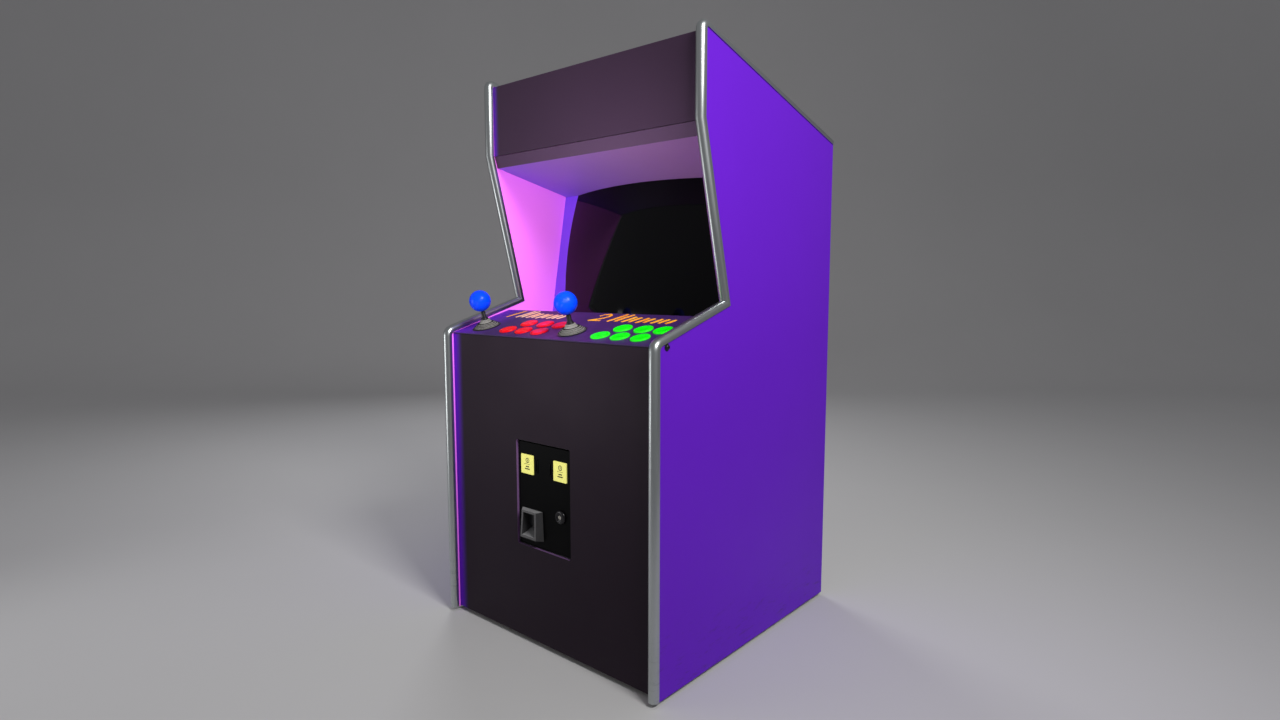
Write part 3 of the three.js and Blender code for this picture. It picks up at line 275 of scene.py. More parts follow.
bead_radius = 14
armrest_front, armrest_back = (0, 881), (290, 972)
throat, marquee_top, top_back = (175, 1429), (176, 1650), (panel_depth, 1464)
slope = (Vector(top_back) - Vector(marquee_top)).normalized()
edge_path = [
    Vector((0, 2)),
    *arc_corner((0, 0), armrest_front, armrest_back, 16),
    Vector(armrest_back),
    Vector(throat),
    *arc_corner(throat, marquee_top, top_back, 16),
    Vector(top_back) - slope * 2,
]
outer_path = offset_path(edge_path, bead_radius)
inner_path = offset_path(edge_path, -5)

for side, sign in (("left", -1), ("right", 1)):
    bm = bmesh.new()
    middle = sign * 412
    rows = []
    for path in (outer_path, inner_path):
        rows.append([bm.verts.new((middle - bead_radius, point.x, point.y)) for point in path])
    strip = [bm.faces.new((rows[0][i], rows[0][i + 1], rows[1][i + 1], rows[1][i]))
             for i in range(len(edge_path) - 1)]
    thick = bmesh.ops.extrude_face_region(bm, geom=strip)
    raised = [item for item in thick["geom"] if isinstance(item, bmesh.types.BMVert)]
    bmesh.ops.translate(bm, verts=raised, vec=(2 * bead_radius, 0, 0))
    bmesh.ops.recalc_face_normals(bm, faces=bm.faces)
    outer = {tuple(round(value, 2) for value in point) for point in outer_path}

    def on_outer(vert):
        return (round(vert.co.y, 2), round(vert.co.z, 2)) in outer

    long_edges = [edge for edge in bm.edges
                  if all(on_outer(v) for v in edge.verts)
                  and abs(edge.verts[0].co.x - edge.verts[1].co.x) < 0.1]
    bmesh.ops.bevel(bm, geom=long_edges, offset=bead_radius - 0.2, offset_type="OFFSET", segments=8,
                    affect="EDGES", profile=0.5, material=-1, clamp_overlap=True, loop_slide=False)
    bmesh.ops.remove_doubles(bm, verts=bm.verts, dist=0.05)
    bm.transform(cabinet_axes)
    new_piece(f"{side}_edge_moulding", bm, [moulding_chrome], "cabinet", [f"{side}_edge_trim"],
              sharp=30.0)


# ------------------------------------------------------------------ panel bolts
# A black domed bolt in each side panel, just behind the armrest's front corner, holds the control
# panel's bracket. It is a button-head bolt on a thin pressed washer.
def turned(points, steps, closed=False):
    """A piece spun about Z from (radius, height) points."""
    bm = bmesh.new()
    verts = [bm.verts.new((radius, 0, height)) for radius, height in points]
    edges = [bm.edges.new(pair) for pair in zip(verts, verts[1:])]
    if closed:
        edges.append(bm.edges.new((verts[-1], verts[0])))
    bmesh.ops.spin(bm, geom=verts + edges, cent=(0, 0, 0), axis=(0, 0, 1), angle=math.tau, steps=steps,
                   use_merge=True)
    bmesh.ops.remove_doubles(bm, verts=bm.verts, dist=0.001)
    bmesh.ops.recalc_face_normals(bm, faces=bm.faces)
    return bm


black_steel = finish("black_steel", (0.006, 0.006, 0.007), (0.010, 0.010, 0.012), 0.3, grain=1100.0,
                     relief=0.12, rub=70.0, shine=0.35)
washer_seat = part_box("right_side_panel")[1].x + 0.3 * MM
for side, sign in (("left", -1), ("right", 1)):
    low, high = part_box(f"{side}_panel_bolt")
    centre = (low + high) / 2
    head = turned([(0, -1), (9, -1), (9, 0.6), (8.4, 1.0), (7.2, 1.1), (7.0, 2.0), (6.4, 3.8), (5.0, 5.2),
                   (3.6, 6.0), (2.9, 6.1), (2.6, 4.2), (0, 3.8)], 32)
    outward = Matrix.Rotation(sign * math.pi / 2, 4, "Y")
    surface = Matrix.Translation((sign * washer_seat, centre.y, centre.z))
    head.transform(surface @ Matrix.Scale(MM, 4) @ outward)
    new_piece(f"{side}_bolt_head", head, [black_steel], "cabinet", [f"{side}_panel_bolt"])


# ------------------------------------------------------------------ kick panel, floor, back and top
# The boxes' boards are melamine-faced: near-black aubergine outside. The kick panel's laminate fades to
# purple at its left edge, a painted glow of light bounced off the pink side wall. The faces of its coin
# opening are painted mauve, a painted highlight where light catches the reveal. The floor is plywood.
def aubergine(name, painted_glow=None):
    """Near-black aubergine melamine."""
    return finish(name, (0.0150, 0.0072, 0.0156), (0.0140, 0.0067, 0.0145), 0.42, relief=0.16,
                  grain=650.0, smudge=2.5, rub=22.0, rub_colour=(0.022, 0.013, 0.024), scuff=0.7,
                  shine=0.12, painted_glow=painted_glow)


side_wall_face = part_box("left_side_panel")[1].x
aubergine_board = aubergine("aubergine_board")
kick_laminate = aubergine("kick_laminate", (side_wall_face, 0.012, 0.045, (0.10, 0.009, 0.48)))
# Mauve painted highlight for the faces of the coin opening's reveal.
painted_light_reveal_mauve = finish("painted_light_reveal_mauve", (0.19, 0.095, 0.24), (0.15, 0.075, 0.20), 0.42, grain=700.0)
coin_opening_half = 0.1105
coin_low, coin_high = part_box("coin_door_frame")


# Picks the reveal faces inside the coin opening for the painted highlight.
def kick_reveal_highlight(face):
    centre = face.calc_center_median()
    inside = abs(centre.x) < coin_opening_half and coin_low.z < centre.z < coin_high.z
    return 1 if inside and abs(face.normal.y) < 0.8 else 0


eased_piece("kick_board", "kick_panel", [kick_laminate, painted_light_reveal_mauve], "cabinet",
            0.0007, 2, kick_reveal_highlight)
eased_piece("back_board", "back_panel", [aubergine_board], "cabinet", 0.0008)
eased_piece("top_board", "top_panel", [aubergine_board], "cabinet", 0.0008)

plywood = finish("plywood", (0.50, 0.31, 0.14), (0.40, 0.23, 0.09), 0.6, grain=300.0, relief=0.4)
eased_piece("floor_board", "bottom_panel", [plywood], "cabinet", 0.0008)


# ------------------------------------------------------------------ levelling feet
# Four zinc-plated levelling feet carry the cabinet. Each is a pressed pad, a jam nut and a threaded stem
# that runs up into the floor board.
def joined(first, *others):
    """One mesh out of several drawn ones, each a closed shell."""
    for other in others:
        spare = bpy.data.meshes.new("spare")
        other.to_mesh(spare)
        other.free()
        first.from_mesh(spare)
        bpy.data.meshes.remove(spare)
    return first


def ease_edges(bm, edges, width, segments=2):
    """Rounds the given edges off."""
    bmesh.ops.bevel(bm, geom=edges, offset=width, offset_type="OFFSET", segments=segments,
                    affect="EDGES", profile=0.5, material=-1)


zinc_plate = finish("zinc_plate", (0.46, 0.47, 0.48), (0.38, 0.39, 0.41), 0.32, metallic=1.0,
                    smudge=30.0, grain=1200.0, relief=0.1, rub=90.0, spread=0.16)
for row in ("front", "rear"):
    for side in ("left", "right"):
        node = f"{row}_{side}_foot"
        low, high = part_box(node)
        centre = (low + high) / 2
        thread = []
        for turn in range(13):
            thread += [(4.4, 11 + turn * 2.2), (5.0, 12.1 + turn * 2.2)]
        pad = turned([(0, 0), (18.6, 0), (19.6, 0.6), (20, 1.8), (20, 4.6), (18.8, 5.6), (11, 7.2),
                      (8, 9.4), (5.4, 10.6), (4.4, 10.8)] + thread + [(4.4, 39.6), (0, 39.6)], 40)
        nut = bmesh.new()
        bmesh.ops.create_cone(nut, cap_ends=True, segments=6, radius1=9, radius2=9, depth=6)
        ease_edges(nut, nut.edges[:], 0.7)
        bmesh.ops.translate(nut, verts=nut.verts, vec=(0, 0, 36.4))
        foot = joined(pad, nut)
        foot.transform(Matrix.Translation((centre.x, centre.y, low.z)) @ Matrix.Scale(MM, 4))
        new_piece(f"{row}_{side}_leveller", foot, [zinc_plate], "cabinet", [node])


# ------------------------------------------------------------------ marquee
# The marquee is a tinted acrylic sheet over a lamp. A painted steel angle holds its lower edge, and
# a mauve board slopes back from the angle to the monitor.
# The acrylic fades to purple near its left edge: a painted glow of light bounced off the pink side wall.
marquee_acrylic = finish("marquee_acrylic", (0.040, 0.0215, 0.043), (0.036, 0.019, 0.039), 0.3,
                         relief=0.02, grain=300.0, smudge=1.6, rub=18.0, rub_colour=(0.045, 0.026, 0.048),
                         shine=0.16, painted_glow=(side_wall_face, 0.006, 0.026, (0.085, 0.012, 0.36)))
mauve_paint = finish("mauve_paint", (0.058, 0.027, 0.066), (0.054, 0.025, 0.061), 0.4, grain=900.0,
                     relief=0.16, smudge=3.0, shine=0.2)
# The soffit board fades to purple across much of its width from the left: a painted glow of light bounced
# off the pink side wall.
mauve_laminate = finish("mauve_laminate", (0.33, 0.165, 0.39), (0.31, 0.152, 0.365), 0.45,
                        grain=700.0, relief=0.18, smudge=2.0, shine=0.16,
                        painted_glow=(side_wall_face, 0.02, 0.62, (0.26, 0.13, 0.68)))
eased_piece("marquee_sheet", "marquee_panel", [marquee_acrylic], "cabinet", 0.0006)
eased_piece("marquee_angle", "marquee_retainer", [mauve_paint], "cabinet", 0.0006)
eased_piece("marquee_soffit", "marquee_underside", [mauve_laminate], "cabinet", 0.0006)


# ------------------------------------------------------------------ monitor bezel and tray
# The bezel is one folded sheet of textured purple plastic. It surrounds the tube and folds forward
# at its foot into the tray that closes the well behind the control panel.
bezel_plastic = finish("bezel_plastic", (0.190, 0.058, 0.70), (0.178, 0.052, 0.66), 0.5, grain=500.0,
                       relief=0.35, smudge=3.0, shine=0.2)
eased_piece("bezel_sheet", "monitor_bezel", [bezel_plastic], "cabinet", 0.0008)


# ------------------------------------------------------------------ picture tube
# A bulging picture tube of near-black glass with a polished face. Behind it are the graphite-coated
# funnel, the copper deflection yoke and the glass neck with its socket board.
bezel_lean = math.radians(9.9)
ring_low, ring_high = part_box("monitor_frame")
ring_centre = (ring_low + ring_high) / 2
lean = Matrix.Rotation(-bezel_lean, 4, "X")
tube_axes = (Matrix.Translation(ring_centre) @ lean @ Matrix.Translation((0, -0.019, 0))
             @ Matrix.Scale(MM, 4))

to_front = Matrix.Rotation(math.pi / 2, 4, "X")
to_rear = Matrix.Rotation(-math.pi / 2, 4, "X")

tube_glass = finish("tube_glass", (0.0016, 0.0016, 0.0019), (0.0013, 0.0013, 0.0016), 0.045,
                    relief=0.0, smudge=2.5, grain=60.0, spread=0.03, rub=12.0,
                    rub_colour=(0.002, 0.002, 0.003), shine=0.12)
graphite_coat = finish("graphite_coat", (0.012, 0.012, 0.013), (0.022, 0.022, 0.023), 0.7,
                       grain=500.0, relief=0.3, smudge=12.0)
half_width, curve_height, bulge, half_height, skirt = 359, 572, 57.5, 240, 34
profile = [(0, -skirt), (1, -skirt), (1, 0)]
rings = 20
profile += [(1 - i / rings, bulge * (1 - (1 - i / rings) ** 2)) for i in range(1, rings + 1)]
face = turned(profile, 160)
face.transform(to_front)
bmesh.ops.scale(face, verts=face.verts, vec=(half_width, 1, curve_height))
for sign in (-1, 1):
    cut = bmesh.ops.bisect_plane(face, geom=face.verts[:] + face.edges[:] + face.faces[:], dist=0.01,
                                 plane_co=(0, 0, sign * half_height), plane_no=(0, 0, sign),
                                 clear_outer=True)
    rim = [item for item in cut["geom_cut"] if isinstance(item, bmesh.types.BMEdge)]
    bmesh.ops.holes_fill(face, edges=rim, sides=0)
bmesh.ops.recalc_face_normals(face, faces=face.faces)
face.transform(tube_axes)
new_piece("tube_face", face, [tube_glass], "cabinet", ["crt_tube"], sharp=40.0)

funnel = turned([(0, 0), (1, 0), (0.97, 14), (0.82, 55), (0.62, 105), (0.42, 152), (0.26, 188),
                 (0.16, 210), (0, 210)], 64)
funnel.transform(to_rear)
bmesh.ops.scale(funnel, verts=funnel.verts, vec=(300, 1, 215))
bmesh.ops.translate(funnel, verts=funnel.verts, vec=(0, skirt - 2, 0))
funnel.transform(tube_axes)
new_piece("tube_funnel", funnel, [graphite_coat], "cabinet", (), sharp=40.0)


# ------------------------------------------------------------------ yoke, neck and tube ring
# The copper deflection yoke sits on the funnel's narrow end, with the clear neck and a socket board
# behind it. A welded steel ring, with an ear in each corner, carries the tube by its skirt.
def block(low, high, ease=0.0, segments=2):
    """A box between two corners with eased edges."""
    bm = bmesh.new()
    bmesh.ops.create_cube(bm, size=1.0)
    low, high = Vector(low), Vector(high)
    bmesh.ops.scale(bm, verts=bm.verts, vec=high - low)
    bmesh.ops.translate(bm, verts=bm.verts, vec=(low + high) / 2)
    if ease:
        ease_edges(bm, bm.edges[:], ease, segments)
    return bm


copper_wire = finish("copper_wire", (0.55, 0.20, 0.07), (0.42, 0.13, 0.04), 0.34, metallic=1.0,
                     grain=300.0, relief=0.8)
neck_glass = finish("neck_glass", (0.10, 0.11, 0.12), (0.07, 0.08, 0.09), 0.06, coat=1.0, relief=0.02)
solder_mask = finish("solder_mask", (0.010, 0.110, 0.032), (0.014, 0.150, 0.046), 0.32, grain=420.0,
                     relief=0.3, coat=0.4, smudge=40.0)
moulded_black = finish("moulded_black", (0.010, 0.010, 0.011), (0.016, 0.016, 0.018), 0.48,
                       grain=700.0, relief=0.35)

coils = turned([(34, 176), (62, 170), (66, 178), (60, 196), (46, 224), (34, 236), (26, 234), (26, 200)],
               72, closed=True)
for vert in coils.verts:
    angle = math.atan2(vert.co.y, vert.co.x)
    swell = 1 + 0.025 * math.cos(24 * angle)
    vert.co.x *= swell
    vert.co.y *= swell
coils.transform(tube_axes @ to_rear)
new_piece("deflection_yoke", coils, [copper_wire], "cabinet", (), sharp=50.0)

neck = turned([(0, 232), (20, 232), (20, 306), (18, 313), (12, 317), (0, 318)], 40)
neck.transform(tube_axes @ to_rear)
new_piece("tube_neck", neck, [neck_glass], "cabinet", (), sharp=50.0)

socket = turned([(0, 312), (15, 312), (15, 330), (13.5, 332), (0, 332)], 32)
socket.transform(tube_axes @ to_rear)
new_piece("tube_socket", socket, [moulded_black], "cabinet", ())
socket_board = block((-36, 322, -30), (36, 323.6, 30), 0.3)
for i in range(5):
    socket_board = joined(socket_board, block((-30 + i * 13, 323.6, 17), (-24 + i * 13, 329, 23), 1.0))
socket_board.transform(tube_axes)
new_piece("neck_board", socket_board, [solder_mask], "cabinet", ())

eased_piece("tube_ring", "monitor_frame", [black_steel], "cabinet", 0.0012)
ear_x, ear_z, ear_half = 372, 244, 14
ears = []
for x in (-ear_x, ear_x):
    for z in (-ear_z, ear_z):
        bolt = turned([(0, -3.4), (6.5, -3.4), (6.5, 0), (0, 0.8)], 6)
        bolt.transform(Matrix.Translation((x, 0, z)) @ to_rear)
        ears += [block((x - ear_half, 3, z - ear_half), (x + ear_half, 6, z + ear_half), 0.8), bolt]
ears = joined(*ears)
ears.transform(tube_axes)
new_piece("ring_ears", ears, [zinc_plate], "cabinet", ())


# ------------------------------------------------------------------ marquee lamp
# A tin channel under the top board carries one frosted tube between two plastic end holders. Its
# ballast is a box at the channel's left end.
top_tilt = math.atan2(slope.y, slope.x)


def under_top(y):
    """The height of the top board's lower face at a distance from the front."""
    return marquee_top[1] + (y - marquee_top[0]) * slope.y / slope.x - 8 - 18 / slope.x - 0.3


pressed_tin = finish("pressed_tin", (0.42, 0.43, 0.44), (0.34, 0.35, 0.36), 0.36, metallic=1.0,
                     smudge=20.0, grain=700.0, relief=0.15)
frosted_tube = finish("frosted_tube", (0.62, 0.62, 0.58), (0.56, 0.56, 0.52), 0.25, coat=0.8,
                      relief=0.02)
holder_plastic = finish("holder_plastic", (0.55, 0.54, 0.50), (0.48, 0.47, 0.43), 0.45, relief=0.3)
lamp_axes = cabinet_axes @ Matrix.Translation((0, 300, under_top(300))) @ Matrix.Rotation(top_tilt, 4, "X")
channel = joined(block((-300, -20, -3), (300, 20, 0), 0.6), block((-300, -20, -22), (300, -18, 0), 0.4),
                 block((-300, 18, -22), (300, 20, 0), 0.4), block((-270, -15, -19), (-170, 15, -3), 1.0))
channel.transform(lamp_axes)
new_piece("lamp_channel", channel, [pressed_tin], "cabinet", ["marquee_lamp"])
holders = joined(block((-300, -15, -60), (-289, 15, -20), 2.0), block((289, -15, -60), (300, 15, -20), 2.0))
holders.transform(lamp_axes)
new_piece("lamp_holders", holders, [holder_plastic], "cabinet", ())
to_right = Matrix.Rotation(math.pi / 2, 4, "Y")
lamp_tube = turned([(0, -291), (11, -291), (11.4, -276), (13, -272), (13, 272), (11.4, 276), (11, 291),
                    (0, 291)], 32)
lamp_tube.transform(lamp_axes @ Matrix.Translation((0, 0, -43)) @ to_right)
new_piece("lamp_tube", lamp_tube, [frosted_tube], "cabinet", ())


# ------------------------------------------------------------------ loudspeaker
# A round loudspeaker under the top grille: a pressed basket, a rolled edge, a ribbed paper cone with
# a dust cap, and a ferrite magnet.
speaker_axes = (cabinet_axes @ Matrix.Translation((0, 523, under_top(523)))
                @ Matrix.Rotation(top_tilt, 4, "X"))
paper_cone = finish("paper_cone", (0.018, 0.017, 0.016), (0.028, 0.026, 0.024), 0.85, grain=240.0,
                    relief=0.7)
ferrite = finish("ferrite", (0.028, 0.028, 0.030), (0.040, 0.040, 0.042), 0.6, grain=300.0, relief=0.4)
basket = turned([(76, -0.2), (76, -2), (67, -2.4), (64, -8), (36, -30), (27, -32), (27, -30), (35, -28.6),
                 (62, -7), (65, -1), (68, -0.2)], 64, closed=True)
basket.transform(speaker_axes)
new_piece("speaker_basket", basket, [pressed_tin], "cabinet", ["speaker"])
ribs = [(67, -1.2), (65, -0.6), (63, -2.2)]
ribs += [(61 - i * 3.1, -3.2 - i * 1.9 + (0.35 if i % 2 else 0)) for i in range(10)]
cone = turned(ribs + [(24, -20), (20, -16), (12, -12.6), (0, -11), (0, -24), (30, -24), (64, -4),
                      (67, -2.4)], 64)
cone.transform(speaker_axes)
new_piece("speaker_cone", cone, [paper_cone], "cabinet", ())
magnet = turned([(0, -46), (15, -46), (16, -45), (28, -45), (29, -44), (29, -34), (28, -33), (0, -33)], 48)
magnet.transform(speaker_axes)
new_piece("speaker_magnet", magnet, [ferrite], "cabinet", ())


# ------------------------------------------------------------------ control panel
# A folded 3 mm steel pan, painted dark purple, with a textured vinyl overlay on its sloping top. It
# hinges up along its front edge. The overlay carries a brushed numeral and a row of marks for each
# player.
tilt_joint = joints["control_panel_tilt"]
press_axis = Vector(joints["left_button_1_press"]["axis"])
panel_tilt = math.atan2(press_axis.y, -press_axis.z)
panel_axes = (Matrix.Translation(Vector(tilt_joint["pos_m"]) - press_axis * 0.003)
              @ Matrix.Rotation(panel_tilt, 4, "X") @ Matrix.Scale(MM, 4))

# The vinyl fades to purple towards its left end: a painted glow of light bounced off the pink side wall.
panel_vinyl = finish("panel_vinyl", (0.050, 0.019, 0.112), (0.038, 0.014, 0.088), 0.34, grain=260.0,
                     relief=0.35, smudge=9.0, rub=60.0, rub_colour=(0.07, 0.035, 0.13), shine=0.08,
                     painted_glow=(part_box("control_panel")[0].x, 0.012, 0.16, (0.11, 0.012, 0.46)))
panel_paint = finish("panel_paint", (0.030, 0.012, 0.065), (0.024, 0.010, 0.054), 0.4, grain=800.0,
                     relief=0.2)
panel_up = -press_axis


def panel_side(face):
    return 0 if face.normal.dot(panel_up) > 0.5 else 1


eased_piece("panel_pan", "control_panel", [panel_vinyl, panel_paint], "control_panel",
            0.0007, 2, panel_side)


def brush_stroke(points, widths, low, high):
    """A flat stroke of ink on the panel, a ribbon along (x, s) points that thins at its ends."""
    bm = bmesh.new()
    points = [Vector(point) for point in points]
    last = len(points) - 1
    rails = []
    for i, point in enumerate(points):
        along = (points[min(i + 1, last)] - points[max(i - 1, 0)]).normalized()
        across = Vector((-along.y, along.x)) * widths[i] / 2
        lift = low + (high - low) * i / last
        rails.append([bm.verts.new((point + across).to_3d() + Vector((0, 0, lift))),
                      bm.verts.new((point - across).to_3d() + Vector((0, 0, lift)))])
    faces = [bm.faces.new((a[0], a[1], b[1], b[0])) for a, b in zip(rails, rails[1:])]
    solid = bmesh.ops.extrude_face_region(bm, geom=faces)
    sunk = [item for item in solid["geom"] if isinstance(item, bmesh.types.BMVert)]
    for vert in sunk:
        vert.co.z = 0.02
    bmesh.ops.recalc_face_normals(bm, faces=bm.faces)
    return bm


def smooth_path(points, steps=8):
    """A curve through (x, s) points."""
    points = [Vector(point) for point in points]
    closed = [points[0], *points, points[-1]]
    path = []
    for p0, p1, p2, p3 in zip(closed, closed[1:], closed[2:], closed[3:]):
        for i in range(steps):
            t = i / steps
            path.append(0.5 * (2 * p1 + (p2 - p0) * t + (2 * p0 - 5 * p1 + 4 * p2 - p3) * t ** 2
                               + (3 * p1 - p0 - 3 * p2 + p3) * t ** 3))
    return path + [points[-1]]


def tapered(count, width):
    """Stroke widths that swell in the middle and thin towards both ends."""
    return [width * (0.35 + 0.65 * math.sin(math.pi * min(1, (i + 1.5) / (count + 2))) ** 0.4)
            for i in range(count)]


def player_ink(name, warm, pale):
    """Brushed ink, mottled with a paler tone."""
    return finish(name, warm, pale, 0.38, grain=420.0, relief=0.5, smudge=16.0, rub=50.0,
                  rub_colour=pale, shine=0.1)


orange_ink = player_ink("orange_ink", (0.86, 0.26, 0.010), (0.90, 0.46, 0.03))
cream_ink = player_ink("cream_ink", (0.90, 0.38, 0.16), (0.92, 0.62, 0.46))
numeral_width, mark_width, mark_lean = 10.0, 13.0, 0.40
# A row of plain slanted brush marks follows: place along the row, foot, top and sideways bow.
marks = ((0, 158, 222, 2), (24, 160, 220, -2), (48, 158, 204, 2), (71, 160, 200, -2), (94, 156, 198, 2),
         (117, 160, 196, -2), (140, 158, 195, 2), (163, 160, 194, -2), (184, 160, 192, 1))
for side, left, numeral, stretch, rest_ink in (
        ("left", -331, [(3, 157), (17, 188), (32, 220)], 1.0, cream_ink),
        ("right", 25, [(18, 198), (27, 212), (46, 215), (56, 201), (44, 182), (22, 168), (10, 160),
                       (30, 161), (54, 160)], 1.12, orange_ink)):
    path = [Vector((left, 0)) + point for point in smooth_path(numeral)]
    digit = brush_stroke(path, tapered(len(path), numeral_width), 0.30, 0.42)
    digit.transform(panel_axes)
    new_piece(f"{side}_player_numeral", digit, [orange_ink], "control_panel", ())
    start = left + (48 if side == "left" else 82)
    strokes = []
    for along, foot_s, top_s, bow in marks:
        foot_x = start + along * stretch
        top_x = foot_x + mark_lean * (top_s - foot_s)
        middle = ((foot_x + top_x) / 2 + bow, (foot_s + top_s) / 2)
        path = smooth_path([(foot_x, foot_s), middle, (top_x, top_s)])
        strokes.append(brush_stroke(path, tapered(len(path), mark_width), 0.3, 0.42))
    row = joined(*strokes)
    row.transform(panel_axes)
    new_piece(f"{side}_player_marks", row, [rest_ink], "control_panel", ())


# ------------------------------------------------------------------ push buttons
# Each button is one moulded colour: a threaded barrel with a rounded rim on top of the panel, a ring
# nut under it, and a plunger with a slightly dished top. A microswitch clips to the barrel's foot.
button_red = finish("button_red", (0.86, 0.001, 0.008), (0.78, 0.001, 0.006), 0.3, smudge=50.0,
                    grain=500.0, relief=0.05, rub=160.0, rub_colour=(0.88, 0.02, 0.03), shine=0.16)
button_green = finish("button_green", (0.003, 0.95, 0.001), (0.002, 0.88, 0.001), 0.3, smudge=50.0,
                      grain=500.0, relief=0.05, rub=160.0, rub_colour=(0.05, 0.96, 0.04), shine=0.16)
rim_red = finish("rim_red", (0.72, 0.001, 0.007), (0.66, 0.001, 0.006), 0.3, smudge=50.0,
                 relief=0.05, shine=0.2)
rim_green = finish("rim_green", (0.020, 0.95, 0.010), (0.014, 0.88, 0.008), 0.3, smudge=50.0,
                   relief=0.05, shine=0.2)
for side, cap, rim, slot in (("left", button_red, rim_red, "red_plastic"),
                             ("right", button_green, rim_green, "green_plastic")):
    for number in range(1, 7):
        node = f"{side}_button_{number}"
        low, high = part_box(node)
        centre = panel_axes.inverted() @ ((low + high) / 2)
        place = panel_axes @ Matrix.Translation((centre.x, centre.y, 0))
        plunger = turned([(0, -14), (10, -14), (10, -12.6), (21, -12.6), (21.9, -11.8), (21.9, 3.4),
                          (21.5, 4.2), (20.6, 4.5), (18.6, 4.3), (12, 3.7), (5, 3.4), (0, 3.3)], 56)
        plunger.transform(place)
        new_piece(f"{side}_plunger_{number}", plunger, [cap], node, [node])
        thread = []
        for turn in range(9):
            thread += [(23.0, -4 - turn * 2.6), (22.75, -5.3 - turn * 2.6)]
        barrel = turned([(22.2, 2.6), (22.7, 3.3), (24.2, 3.6), (25.8, 3.2), (26.6, 2.0), (26.8, 0.5),
                         (26.6, 0.05), (23.0, 0.05), *thread, (23.0, -30), (22.2, -30)], 56, closed=True)
        barrel.transform(place)
        new_piece(f"{side}_barrel_{number}", barrel, [rim], "control_panel", ())
        nut = turned([(23.3, -3.2), (30, -3.2), (30, -9), (29, -10), (23.3, -10)], 12, closed=True)
        nut.transform(place)
        new_piece(f"{side}_nut_{number}", nut, [rim], "control_panel", (), sharp=20.0)
        switch = block((-11, -3.2, -42), (11, 3.2, -31), 0.8)
        clip = block((-23.2, -4, -31), (23.2, 4, -29.4), 0.5)
        switch = joined(switch, clip)
        switch.transform(place)
        new_piece(f"{side}_switch_{number}", switch, [moulded_black], "control_panel", ())
        tags = joined(block((-8.4, -0.4, -50), (-3.6, 0.4, -41.8), 0.15),
                      block((3.6, -0.4, -50), (8.4, 0.4, -41.8), 0.15))
        tags.transform(place)
        new_piece(f"{side}_switch_tags_{number}", tags, [zinc_plate], "control_panel", ())


# ------------------------------------------------------------------ joysticks
# A steel shaft leans in a gimbal under the panel. Above the panel are a black dust washer, a ribbed
# grey rubber boot, a grey neck cap that slides over the boot's crown, and a gloss blue ball. The washer
# is drawn wide so that its black also stands in for the boot's contact shadow, and the boot's landings
# and risers are near-black painted shade between its ribs.
boot_rubber = finish("boot_rubber", (0.20, 0.195, 0.18), (0.16, 0.155, 0.145), 0.62, grain=420.0,
                     relief=0.45, smudge=60.0, rub=200.0, rub_colour=(0.30, 0.29, 0.27), shine=0.25)
# Near-black rubber: painted shade in the boot's landings and risers.
shaded_boot_rubber = finish("shaded_boot_rubber", (0.018, 0.017, 0.016), (0.013, 0.012, 0.012), 0.8, grain=420.0,
                       relief=0.45, smudge=60.0, shine=0.1)
# Black for the washer, which also stands in for the boot's contact shadow on the panel.
washer_and_shadow_black = finish("washer_and_shadow_black", (0.004, 0.004, 0.005), (0.007, 0.007, 0.008), 0.35, grain=900.0,
                      relief=0.2)
ball_blue = finish("ball_blue", (0.001, 0.055, 0.93), (0.001, 0.046, 0.88), 0.22, smudge=24.0,
                   relief=0.02, rub=90.0, rub_colour=(0.02, 0.16, 0.95), shine=0.18)
rib_edges = ((38.8, 4.0), (34.2, 7.4), (29.8, 10.8), (25.4, 14.0))
